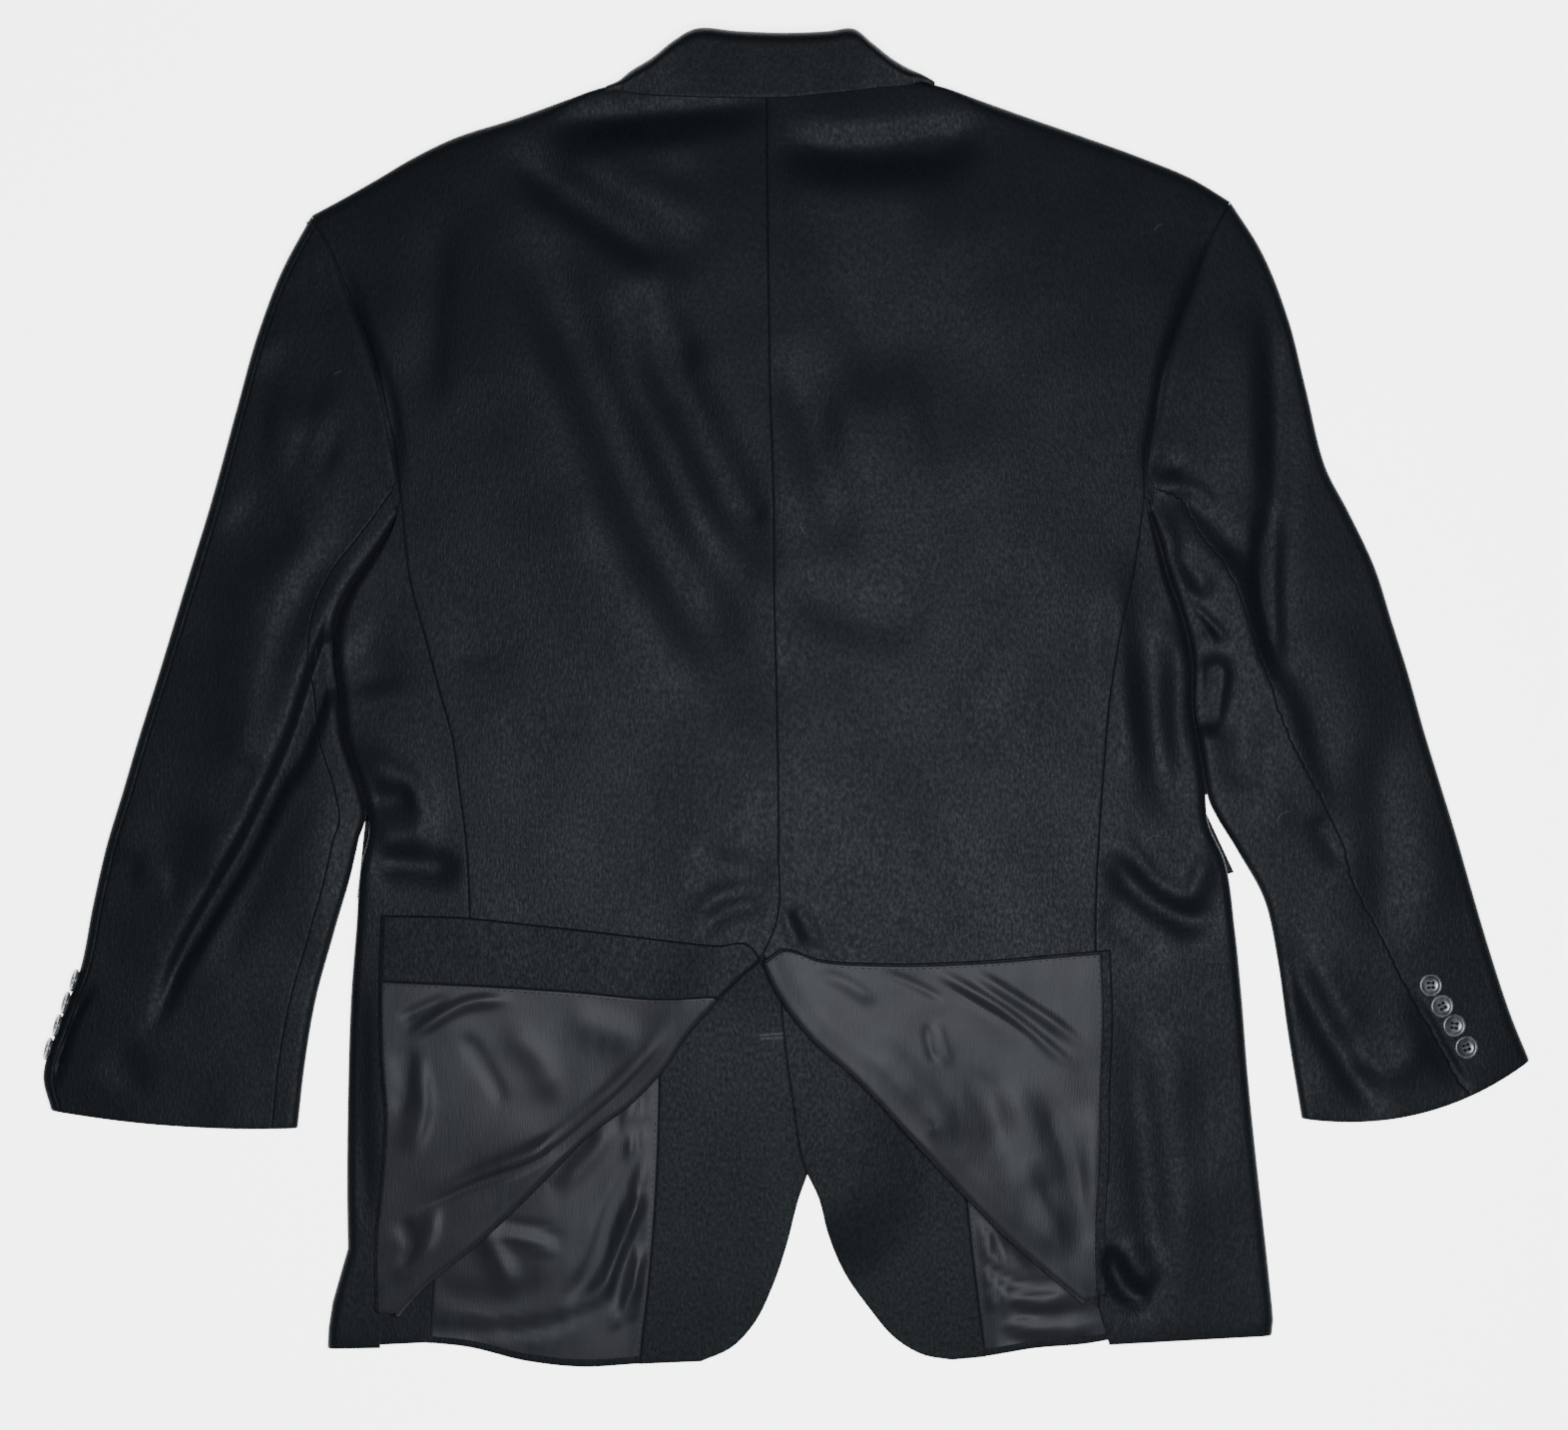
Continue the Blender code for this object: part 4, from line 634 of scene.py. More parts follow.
# the fronts, face down on the surface
fronts = {
    # how high they are lifted over the layers below them, and where the right one laps the left
    "lift": 2.8,
    "overlapLift": 6.6,
    "liftMargin": 20.0,
    "liftRamp": 60.0,
    "shoulderFrom": 3,
    "facingColumns": 30,
    "liningColumns": 70,
    "facingStart": 0.66,
    "liningStart": 0.71,
    "overlap": [(5, -71.5), (15, -80.5), (15, -291.5), (9.5, -279), (2, -242), (-2.5, -186)],
    "upperButton": [(-4.5, -98), (19, -98), (19, -125), (-4.5, -125)],
    # the inner edge, from the neck down the roll line and round the cutaway
    "leftEdge": [
        (-93.5, 377), (-60, 229.5), (-26, 62), (6, -93), (15, -161), (15, -248), (14.5, -292.5),
        (8.5, -310), (0.5, -340.5), (-8.5, -366.5), (-19, -387.5), (-33.5, -403), (-52.5, -411.5),
    ],
    "rightEdge": [
        (77.5, 377), (46.5, 229.5), (20.5, 62), (0.5, -93), (-3, -161), (-2, -198), (4.5, -249),
        (12.5, -292.5), (20.5, -309.5), (26, -331), (36.5, -356.5), (51.5, -378), (69, -398),
        (85.5, -407.5), (103, -410.5),
    ],
    "leftHem": [
        (-52.5, -411.5), (-88.5, -413), (-128.5, -415), (-160.5, -411.5), (-198.5, -402.5),
        (-222.5, -400),
    ],
    "rightHem": [
        (103, -410.5), (124, -408.5), (154.5, -403.5), (184, -401), (218, -395.5), (246, -393.5),
    ],
    "leftFacingLine": [
        (-131.5, 372.5), (-116, 248), (-97.5, 62), (-82, -124), (-78.5, -248), (-83, -341),
        (-90.5, -413),
    ],
    "rightFacingLine": [
        (132, 367.5), (123, 248), (112, 62), (106, -124), (108.5, -260.5), (114.5, -331),
        (124, -408.5),
    ],
}


# height that a layer of the given outline lifts the cloth above it to
def covered(points, outline, level, ramp):
    outline = np.array(outline, float)
    line = np.vstack([outline, outline[:1]])
    gap, _, _ = nearest(points, line)
    gap[inside(points, outline)] = 0.0
    return level * (1 - smooth((gap - fronts["liftMargin"]) / ramp))


# height of the fronts' outer face: raised over lapels, flaps and buttons, else on the surface
def underHeight(points, ramp=None, join=np.maximum):
    ramp = ramp or fronts["liftRamp"]
    total = np.zeros(len(points))
    for outline in (fronts["upperButton"], *plates["outlines"].values()):
        total = join(total, covered(points, outline, fronts["lift"], ramp))
    return total


# the same for the right front, which passes over the edge of the left one
def overlapHeight(points, ramp=None, join=np.maximum):
    ramp = ramp or fronts["liftRamp"]
    over = covered(points, fronts["overlap"], fronts["overlapLift"], ramp)
    return join(underHeight(points, ramp, join), over)


# plan grid of a front, with a column line along the facing's inner edge
def frontGrid(side):
    seamRows = back["sideRows"] + len(sides[side + "Foot"])
    columns = fronts["facingColumns"] + fronts["liningColumns"] - 1
    down = evenly(back["armholeRows"] + seamRows - 1)
    shoulder = back[side + "Shoulder"][fronts["shoulderFrom"] :]
    start, outward, radius = shoulderStart(shoulder, columns, -1.0)
    arm = below(armholeLine(back[side + "Armhole"], start[-1]), start[-1])
    arm = resampled(arm, evenly(back["armholeRows"]))
    outerLine = np.vstack([arm, curve(sides[side + "UnderSeam"], seamRows)[1:]])
    innerLine = resampled(fineLine([tuple(start[0]), *fronts[side + "Edge"][1:]]), down)
    facingTop = tuple(start[fronts["facingColumns"] - 1])
    middle = resampled(fineLine([facingTop, *fronts[side + "FacingLine"][1:]]), down)
    foot = fineLine(fronts[side + "Hem"])
    split = np.linalg.norm(foot - middle[-1], axis=1).argmin()
    middle[-1] = foot[split]
    outerLine[-1] = foot[-1]
    near = patch(
        start[: fronts["facingColumns"]],
        resampled(foot[: split + 1], evenly(fronts["facingColumns"])),
        innerLine,
        middle,
    )
    far = patch(
        start[fronts["facingColumns"] - 1 :],
        resampled(foot[split:], evenly(fronts["liningColumns"])),
        middle,
        outerLine,
    )
    return np.concatenate([near, far[:, 1:]], axis=1), start, outward, radius


def frontPanel(side, plan, start, outward, radius, under, material):
    outer = raised(plan, under)
    inner = raised(plan, under, -walls["wool"])
    level = outer[0, :, 2]
    seam = np.full(len(level), back["shoulderSeam"] - walls["seamGap"] / 2)
    low, high = shoulderRows(start, outward, radius, level, seam, walls["wool"])
    outer = np.concatenate([low, outer])
    inner = np.concatenate([high, inner])
    drawnIn(outer, inner, ("last",))
    free, seams = ("first", "bottom"), ("top", "last")
    wall("front_" + side, outer, inner, material, free=free, seams=seams, covers=("last",))


# the loose satin and its folds
satin = {
    "uneven": 0.08,
    "lengths": (22.0, 80.0),
    "rest": 0.85,
    "softening": 0.3,
    "edgeColumns": 6,
    "insideSeed": 11,
    "leftSeed": 5,
    "rightSeed": 6,
    # inside the fronts, raised off the front, so all but the deepest stay above it
    "leftInsideFolds": [
        (2.2, 2.6, -2.1, (-181.5, -326), (-159.5, -330.5), (-134.5, -336)),
        (3, 4, 1.8, (-184, -330), (-159.5, -335), (-137.5, -340.5)),
        (4, 5, -2.2, (-82.5, -275.5), (-100, -306.5), (-109, -324.5), (-113.5, -341.5),
         (-126.5, -364), (-144.5, -377.5)),
        (4, 5, 2.2, (-77.5, -285), (-91, -313), (-100.5, -338), (-113, -366), (-134.5, -381.5)),
        (3, 4, -2.1, (-83.5, -325.5), (-97.5, -344), (-104, -368.5), (-100.5, -384.5)),
        (3, 3, 1.8, (-82, -338), (-91, -356.5), (-93.5, -378)),
        (3, 3, -1.7, (-82, -297.5), (-88, -307), (-91, -316)),
        (3, 3, -1.7, (-82, -260.5), (-91, -269.5), (-93.5, -279)),
        (3, 3, -1.7, (-82, -242), (-88, -248), (-91, -257.5)),
        (5, 6, -1.7, (-116, -265.5), (-131.5, -279), (-147, -292.5)),
        (6, 7, 1.7, (-103.5, -260.5), (-122, -285), (-144, -307)),
        (2.5, 3.5, -2, (-246, -388), (-188.5, -391), (-144.5, -388), (-109, -372)),
        (6, 7, 1.6, (-196.5, -310), (-178, -347), (-165.5, -372)),
        (6, 8, -1.2, (-221.5, -366), (-178, -372), (-140.5, -362.5)),
        (2, 3, 1.4, (-86, -251), (-95, -255.5), (-102.5, -265.5)),
        (2, 2.5, 1.5, (-85, -268), (-93.5, -274), (-98.5, -285)),
        (2, 3, 1.4, (-84.5, -290), (-91, -295), (-99, -308)),
        (2, 2.5, 1.7, (-84.5, -307.5), (-93, -317.5), (-101, -332.5)),
        (2, 3, 1.5, (-85, -323.5), (-91, -335), (-96, -348.5)),
        (2, 2.5, 1.4, (-85.5, -342), (-91, -351), (-95, -366)),
        (2, 3, 1.5, (-86, -361), (-93.5, -367), (-102.5, -379.5)),
        (2, 2.5, 1.2, (-87.5, -377), (-97.5, -380.5), (-112, -388)),
    ],
    "rightInsideFolds": [
        (3, 4, -2.2, (116.5, -319.5), (132, -335), (134, -348.5)),
        (3, 4, 2.1, (123, -310), (141.5, -331.5), (160, -356.5)),
        (3, 4, -2.1, (121.5, -352), (144.5, -364), (172.5, -364)),
        (4, 5, 2.1, (126, -366), (157, -373), (181.5, -369)),
        (3, 4, -1.8, (130, -377.5), (165.5, -383), (200.5, -377.5)),
        (3, 4, 1.7, (130, -387.5), (163, -391), (194, -387.5)),
        (3, 3, -1.7, (129, -395.5), (157, -397), (181.5, -392)),
        (2, 2.5, 1.4, (116.5, -325.5), (123.5, -330), (132, -341)),
        (2, 2.5, 1.5, (118, -338), (126, -344.5), (137, -352)),
        (2, 2.5, 1.4, (119, -356.5), (127, -359.5), (139.5, -369.5)),
        (2, 2.5, 1.4, (120.5, -372), (129.5, -374), (143, -379.5)),
    ],
    # on the turned-up flaps
    "leftFolds": [
        (2.5, 5, 2.1, (-60, -195.5), (-85, -220), (-104, -240), (-153, -279.5), (-188.5, -293.5),
         (-228, -313)),
        (2.5, 3.5, -2.2, (-71.5, -214), (-104, -247), (-150, -285), (-190.5, -300.5),
         (-237, -321)),
        (3, 4, 1.5, (-237, -212), (-221.5, -201.5), (-196.5, -188), (-165.5, -186)),
        (3, 4, -1, (-241, -198.5), (-224.5, -191), (-206, -183)),
        (4, 5, -1.4, (-201.5, -204.5), (-191.5, -218), (-180, -237), (-171.5, -254)),
        (8, 9, 1.3, (-178, -198.5), (-153, -223), (-140.5, -254)),
        (6, 8, -1.3, (-237.5, -211), (-233.5, -235.5), (-238.5, -260.5)),
        (5, 8, 1.4, (-227.5, -217), (-224.5, -254), (-232.5, -285)),
        (10, 12, 1.2, (-140.5, -192), (-109.5, -204.5), (-85, -214)),
        (5, 6, -1.2, (-240, -319.5), (-230.5, -338), (-237, -356.5)),
        (4, 6, 1.2, (-215, -310), (-221.5, -338), (-240, -366)),
    ],
    "rightFolds": [
        (3, 4, 1.2, (85.5, -164.5), (107.5, -176.5), (132, -191), (157, -211), (185, -232.5)),
        (2.5, 3, -0.83, (88.5, -170.5), (110.5, -183), (138.5, -199.5), (169.5, -223)),
        (3, 4, 1.2, (110.5, -165), (134.5, -180), (161, -197), (188, -217)),
        (2.5, 3, -0.69, (57.5, -167.5), (79.5, -176.5), (101, -188)),
        (4, 5, 0.83, (17.5, -167.5), (39, -176.5), (57.5, -189)),
        (2.5, 3, -0.83, (87, -199.5), (88.5, -213.5), (92.5, -227)),
        (3, 4, 0.52, (93.5, -197), (97.5, -214.5), (102.5, -229.5)),
        (12, 14, 1.3, (132, -235.5), (150.5, -266.5), (163, -304)),
        (8, 9, -1.2, (157, -235.5), (169.5, -266.5), (183, -310), (184, -347)),
        (6, 8, 1.2, (193, -242), (191.5, -279), (188, -335)),
        (10, 12, 1.2, (51.5, -204.5), (82.5, -242), (107.5, -279)),
        (9, 10, -0.91, (107.5, -223), (126, -254), (135, -285)),
        (7, 8, 1, (138.5, -279), (157, -310), (174, -348.5)),
    ],
}


# height of loose satin above what it lies on: its folds, kept off the cloth below
def satinLoft(points, folds, seed):
    loft = relief(points, folds) + unevenness(points, satin["uneven"], *satin["lengths"], seed)
    loft = loft + satin["rest"]
    return (loft + np.sqrt(loft**2 + satin["softening"] ** 2)) / 2


# a facing or lining on the inside of a front, made from the front's own points
def insideLayer(name, plan, columns, start, end, under, material, folds=None):
    part = plan[round(start * len(plan)) : end, columns].copy()
    below = walls["wool"] + walls["layerGap"]
    thickness = walls["lining"]
    lower = raised(part, under, -below)
    upper = raised(part, under, -(below + thickness))
    if folds:
        flat = part.reshape(-1, 2)
        edge = np.minimum(np.arange(part.shape[1]) / satin["edgeColumns"], 1.0)
        loft = satinLoft(flat, folds, satin["insideSeed"]).reshape(part.shape[:2]) * smooth(edge)
        lower[..., 2] += loft
        upper[..., 2] += loft
    drawnIn(upper, lower, ("first", "last"))
    free = () if folds else ("bottom",)
    wall(name, upper, lower, material, free=free, seams=("first", "last"))


# the sleeves
sleeves = {
    "leftColumns": (56, 10),
    "rightColumns": (32, 36),
    "rows": 150,
    "loft": 4.7,
    "crownEdge": 0.8,
    "edgeShare": 0.2,
    "seamFromOuter": 0.1,
    "seamFromInner": 0.06,
    "seamTries": 81,
    "frontSeamInset": 18.0,
    # against the body: how close, how far it moves there, where it parts from it
    "closeGap": 0.5,
    "mostMoved": 6.5,
    "leftPartsAt": -88.0,
    "rightPartsAt": -72.0,
    "partsOver": 22.0,
    "tuck": 4.0,
    "tuckLevel": (0.06, 2.4),
    "uneven": 0.18,
    "unevenLengths": (40.0, 120.0),
    "leftSeed": 21,
    "rightSeed": 22,
    # sections: outer edge x, y, inner edge x, y, share of the armhole's curve, bow, loft;
    # a straight row of four numbers stands at the plain loft
    "left": [
        (-294, 299.5, -240, 124, 1.0, 0, 4.7), (-312, 266.5, -245.5, 114, 0.75, 0, 4.7),
        (-328, 224.5, -253, 103, 0.45, 0, 4.7), (-340.5, 180, -263.5, 85.5, 0.2, 0, 4.7),
        (-355.5, 125, -271, 70.5), (-372.5, 69.5, -279.5, 50),
        (-389.5, 13.5, -281, 16), (-402.5, -28, -277.5, -17.5),
        (-411, -57, -270, -44), (-421.5, -92, -263, -70.5),
        (-429.5, -127, -268, -103), (-437.5, -167.5, -279, -142.5),
        (-450.5, -201.5, -291, -186, 0, 0, 4.8), (-460.5, -233, -298, -227, 0, 0, 5.0),
        (-455.5, -255.5, -302.5, -266.5, 0, -4, 5.0),
    ],
    "right": [
        (276, 308, 224, 127.5, 1.0, 0, 4.7), (294.5, 279, 229, 119, 0.75, 0, 4.7),
        (312, 235.5, 234.5, 107.5, 0.45, 0, 4.7), (323, 192, 238.5, 93, 0.2, 0, 4.7),
        (335.5, 142.5, 241, 72), (349, 116.5, 248.5, 51),
        (365, 83, 253.5, 31), (376.5, 47, 256, 5),
        (387, 13.5, 257.5, -20), (395.5, -17.5, 261, -42),
        (406.5, -53.5, 264.5, -67), (416, -84.5, 280, -94),
        (426, -119.5, 296.5, -124), (436.5, -155, 305, -161, 0, 0, 4.8),
        (449, -193.5, 311, -204.5, 0, 4, 4.9), (461.5, -224.5, 320, -260.5, 0, 15, 5.0),
    ],
    "leftFolds": [
        # the edge of the cuff's vent, seen from the side
        (2.5, 3.5, -3.4, (-427, -176), (-437, -189.5), (-445, -207), (-450, -224.5),
         (-455.5, -245.5)),
        # the deep groove beside the body
        (5.5, 4.5, -9.8, (-245.5, 108.5), (-264, 76.5), (-279.5, 43.5), (-291, 12.5), (-303, -26),
         (-322, -66.5), (-333.5, -90.5), (-355.5, -128.5), (-379, -171), (-390.5, -200.5),
         (-401, -214)),
        (5, 6, -5.2, (-278.5, 37), (-286.5, 6), (-296.5, -21.5), (-308, -56)),
        (10, 18.5, 2.9, (-255.5, 116.5), (-278.5, 68), (-298, 28), (-313, -12.5), (-330, -52.5),
         (-345.5, -85.5), (-367, -121), (-395, -170.5)),
        (14.5, 14.5, -1.4, (-263.5, 137.5), (-280, 96), (-299, 62), (-311, 28)),
        (12, 21, 2.2, (-269.5, 142.5), (-281, 105), (-302.5, 86), (-318.5, 54.5), (-329, 24),
         (-337.5, -19), (-346.5, -49.5), (-357.5, -85.5)),
        (12, 14.5, -1.6, (-325.5, -31), (-339, -56), (-348.5, -87)),
        (13, 15.5, -1.7, (-322, 220), (-311, 203.5), (-299, 193.5), (-274, 186)),
        (15.5, 14.5, -1.2, (-291, 276), (-280, 254), (-274, 235.5)),
        (13, 15.5, -1, (-308, 161), (-289.5, 155), (-274, 147.5)),
        (14.5, 17.5, -1.4, (-346.5, 121), (-333, 110.5), (-311, 102.5), (-295.5, 108.5)),
        (20, 24, 1.3, (-325.5, 173.5), (-302, 170.5), (-277, 166)),
        (9, 11, -1.3, (-431, -99), (-413.5, -104), (-395, -106.5)),
        (9, 12, -1.4, (-388.5, -114.5), (-370, -111.5), (-353, -115.5)),
        (15.5, 17.5, 1.4, (-283.5, -43.5), (-288.5, -99), (-299, -161)),
        (11, 13, -1.2, (-302, -62), (-333, -124), (-354.5, -180)),
        (12, 15.5, -1.2, (-419.5, -217), (-407.5, -232.5), (-410.5, -245)),
    ],
    "rightFolds": [
        (10, 9, -3.2, (297, 269.5), (300.5, 229.5), (303, 186), (304, 142.5), (301.5, 105.5),
         (298, 65), (300.5, 37), (307, 6), (313, -21.5)),
        (6.5, 7.5, -4.3, (300.5, 124), (298, 87), (299.5, 49.5), (305.5, 6)),
        (10, 17.5, 1.9, (282.5, 248), (287, 198.5), (287, 161), (284.5, 124)),
        # the crest from the armhole down the middle of the sleeve
        (10, 13, 3.2, (247, 124), (265.5, 96), (281, 62), (294.5, 28), (309, -6), (325, -56),
         (340, -90)),
        (9, 10, -2.5, (238.5, 134), (256, 120.5), (273.5, 96), (294.5, 88)),
        # the knot below the armhole
        (4.5, 4.5, -2.6, (222.5, 140), (232.5, 144), (250, 142.5)),
        (4.5, 5, 2.1, (222.5, 131.5), (234.5, 132.5), (253, 129), (269.5, 111.5)),
        (6.5, 7.5, 1.6, (226.5, 126), (235, 105.5), (243.5, 80.5), (260.5, 49.5)),
        (9, 9, -2.2, (237.5, 96), (250, 77.5), (263.5, 62)),
        (3, 3.5, -2.1, (238.5, 64.5), (251, 51), (263, 34)),
        (3, 3.5, -1.6, (245, 65.5), (261, 49.5), (276, 33.5)),
        (3.5, 3.5, 1.3, (241, 59.5), (256, 44.5), (269.5, 31)),
        # the hollow where the sleeve leaves the body
        (7.5, 10, -6.7, (269.5, 30), (266, 6), (261, -25)),
        (11, 13, -2, (276, 0), (282.5, -37), (281, -62)),
        (13, 13, 1.6, (294.5, -12.5), (302.5, -49.5), (305.5, -93)),
        (6.5, 9, -1.7, (328, -69.5), (336.5, -87), (346, -105.5)),
        (15.5, 15.5, -1.9, (366.5, -12.5), (369, -62), (371.5, -111.5), (370, -170.5)),
        (20, 22, 1.4, (340, 62), (349, 0), (354, -62)),
        (15.5, 20, 1.4, (392.5, -49.5), (400, -99), (405, -142.5)),
        (10, 9, -3.8, (307, -139.5), (315.5, -164.5), (330.5, -195.5), (346, -223), (360, -245),
         (372.5, -266.5)),
        (11, 12, 1.4, (324.5, -155), (340, -189), (355.5, -217)),
        (7.5, 10, 1.6, (346, -207.5), (356.5, -224.5), (372.5, -230.5), (389.5, -217),
         (393.5, -204.5)),
        (3, 10, -2.2, (385, -176.5), (397.5, -198.5), (411, -223), (426, -249)),
    ],
    "rightBackSeam": [
        (231.5, 129), (245, 123), (256, 103.5), (269.5, 87), (279.5, 68), (289.5, 41), (299.5, 11),
        (308, -15), (320.5, -40.5), (334, -65.5), (344.5, -90), (353, -116.5), (366.5, -142.5),
        (386.5, -182.5), (403, -211), (418, -238), (423.5, -245.5),
    ],
}


# a sleeve's inner edge brought against the body's edge, and a strip of it tucked below both
def againstBody(innerEdge, outerEdge, side):
    line = fineLine(sides[side + "Edge"])
    gap, share, _ = nearest(innerEdge, line)
    touched = resampled(line, share)
    stay = smooth((innerEdge[:, 1] - sleeves[side + "PartsAt"]) / sleeves["partsOver"])
    move = np.minimum(np.maximum(gap - sleeves["closeGap"], 0), sleeves["mostMoved"]) * stay
    moved = innerEdge + unit(touched - innerEdge) * move[:, None]
    held = stay > 0.5
    near, far = moved[held], touched[held]
    into = unit(outerEdge[held] - near) * sleeves["tuck"]
    low, high = sleeves["tuckLevel"]
    rows = []
    for level, pair in ((low, (near + into, far - into)), (high, (far - into, near + into))):
        rows += [np.column_stack([line, np.full(len(line), level)]) for line in pair]
    count = len(near)
    first = np.arange(count - 1)
    faces = []
    for row in range(4):
        here, after = first + row * count, first + (row + 1) % 4 * count
        faces.append(np.column_stack([here, here + 1, after + 1, after]))
    corners = np.arange(4) * count
    ends = [corners, corners[::-1] + count - 1]
    return moved, (np.concatenate(rows), [np.concatenate([*faces, ends])])


# closed rings of a sleeve, from the outer edge over the top to the inner edge and back underneath
def sleeveLoop(rows, side, seamShare):
    outerEdge, innerEdge = rows[:, :2], rows[:, 2:4]
    armShare, bow, height = rows[:, 4:].T
    start, _, _ = shoulderStart(back[side + "Shoulder"], back["columns"], back["neckShare"])
    arm = armholeLine(back[side + "Armhole"], start[-1])
    width = np.linalg.norm(innerEdge - outerEdge, axis=1)
    radius = np.minimum(sides["edgeRadius"], width * sleeves["edgeShare"])
    chordWay = innerEdge - outerEdge
    square = unit(np.column_stack([-chordWay[:, 1], chordWay[:, 0]]))

    def plan(share):
        chord = outerEdge * (1 - share[:, None]) + innerEdge * share[:, None]
        roundArm = np.array([resampled(arm, [one])[0] for one in share])
        straight = arm[0] * (1 - share[:, None]) + arm[-1] * share[:, None]
        bulge = 4 * bow * share * (1 - share)
        return chord + armShare[:, None] * (roundArm - straight) + square * bulge[:, None]

    def shape(points):
        wave = (sleeves["uneven"], *sleeves["unevenLengths"], sleeves[side + "Seed"])
        return relief(points, sleeves[side + "Folds"]) + unevenness(points, *wave)

    def topHeight(points, share):
        loft = height * (
            sleeves["crownEdge"] + (1 - sleeves["crownEdge"]) * np.sin(math.pi * share)
        )
        own = overFronts(loft + shape(points))
        blend = armShare**2
        return own * (1 - blend) + bodyHeight(points) * blend

    low, high = radius / width, 1 - radius / width
    middle = np.maximum(seamShare(plan, width), low + sleeves["seamFromOuter"])
    middle = np.minimum(middle, high - sleeves["seamFromInner"])
    first, second = sleeves[side + "Columns"]
    shares = [low + (middle - low) * step / first for step in range(first)]
    shares += [middle + (high - middle) * step / second for step in range(second + 1)]
    topOuter, topInner = [], []
    for share in shares:
        points = plan(share)
        level = topHeight(points, share)
        steep = steepness(shape, points)
        topOuter.append(np.column_stack([points, level]))
        topInner.append(np.column_stack([points, level - walls["wool"] * steep]))
    underSeam = high - sleeves["frontSeamInset"] / width
    under = [high, underSeam, (underSeam + low) / 2, low]
    bottomOuter = [np.column_stack([plan(share), np.zeros(len(width))]) for share in under]
    bottomInner = [rows + (0, 0, walls["wool"]) for rows in bottomOuter]
    ends = []
    for share, rim, level in ((high, 1.0, topOuter[-1][:, 2]), (low, 0.0, topOuter[0][:, 2])):
        edge = plan(np.full(len(width), rim))
        way = unit(edge - plan(share))
        ends.append(turnedEdge(edge, way, way, radius, level, np.zeros(len(width)), walls["wool"]))
    loops = []
    for face, (top, bottom) in enumerate(((topOuter, bottomOuter), (topInner, bottomInner))):
        innerTurn, outerTurn = ends[0][face], ends[1][face]
        loops.append(np.concatenate([
            np.array(top).swapaxes(0, 1),
            innerTurn[:, 1:-1],
            np.array(bottom).swapaxes(0, 1),
            outerTurn[:, -2:0:-1],
        ], axis=1))
    return loops


# the columns of a sleeve from first to last, going round
def sleevePiece(name, loops, first, last, material, covers=(), extra=()):
    size = loops[0].shape[1]
    columns = [column % size for column in range(first, last + 1)]
    outer, inner = (loop[:, columns].copy() for loop in loops)
    drawnIn(outer, inner, ("top",), walls["seamGap"])
    drawnIn(outer, inner, ("first", "last"))
    around = ("top", "first", "last")
    closed = {"free": ("bottom",), "seams": around, "covers": covers, "extra": extra}
    wall(name, outer, inner, material, **closed)


# the seam runs a fixed way in from the inner edge
def insetShare(plan, width):
    return 1 - (sides["edgeRadius"] + sleeves["frontSeamInset"] / 2) / width


# the seam runs along a plan path
def pathShare(path):
    line = fineLine(path)

    def share(plan, width):
        tries = evenly(sleeves["seamTries"])
        gaps = [nearest(plan(np.full(len(width), one)), line)[0] for one in tries]
        return tries[np.argmin(gaps, axis=0)]

    return share


# the loops of one sleeve, and the strip that it tucks below the body
def sleeveShape(side, seamShare):
    rest = (0, 0, sleeves["loft"])
    rows = [(*row, *rest[len(row) - 4 :]) for row in sleeves[side]]
    rows = curve(rows, sleeves["rows"])
    rows[:, 2:4], tuck = againstBody(rows[:, 2:4], rows[:, :2], side)
    return sleeveLoop(rows, side, seamShare), tuck


# the lower back panels, turned up at the vent
flaps = {
    "rows": 124,
    "facingRows": 20,
    "columns": 104,
    "rollSteps": 9,
    "roll": 1.1,
    "rest": 0.7,
    "settle": 34.0,
    "foldGap": 0.45,
    "foldEnd": 0.97,
    "tipLength": 60.0,
    "tipStart": 3.5,
    "tipRoll": 0.35,
    # how far the satin stops short of the hem and of the vent edge
    "leftHemBand": 1.8,
    "rightHemBand": 6.0,
    "leftEdgeBand": 0.6,
    "rightEdgeBand": 1.5,
    "loftStart": 14.0,
    "leftFold": [
        (-13.5, -157), (-26, -167), (-44, -184), (-64.5, -206.5), (-78.5, -227), (-98.5, -248),
        (-123, -266.5), (-149, -292.5), (-164.5, -308), (-194, -335.5), (-227, -362.5),
        (-249, -387.5),
    ],
    "rightFold": [
        (-13.5, -157), (-2.5, -180), (17.5, -206.5), (43, -229.5), (64, -251), (83.5, -273),
        (111.5, -303), (141.5, -333), (171, -358.5), (194, -377.5),
    ],
    "leftTop": [
        (-22.5, -152), (-41, -152.5), (-77, -149), (-113.5, -144.5), (-150, -140.5),
        (-204.5, -135), (-250, -134),
    ],
    "rightTop": [
        (-3.5, -155), (20.5, -161), (54, -163.5), (103.5, -163), (137, -161), (170, -158),
        (201, -155.5),
    ],
    "leftHem": [
        (-250, -134), (-251.5, -173.5), (-251, -223), (-248.5, -260.5), (-250.5, -297.5),
        (-254, -335), (-253.5, -379.5),
    ],
    "rightHem": [
        (201, -155.5), (202.5, -194.5), (201, -244.5), (200.5, -285), (198, -322.5), (198, -369.5),
    ],
    # where the wool facing ends; the right flap shows none
    "leftFacing": [(-44, -184), (-77, -186), (-131.5, -181.5), (-186, -178), (-250, -175.5)],
    "rightFacing": None,
}


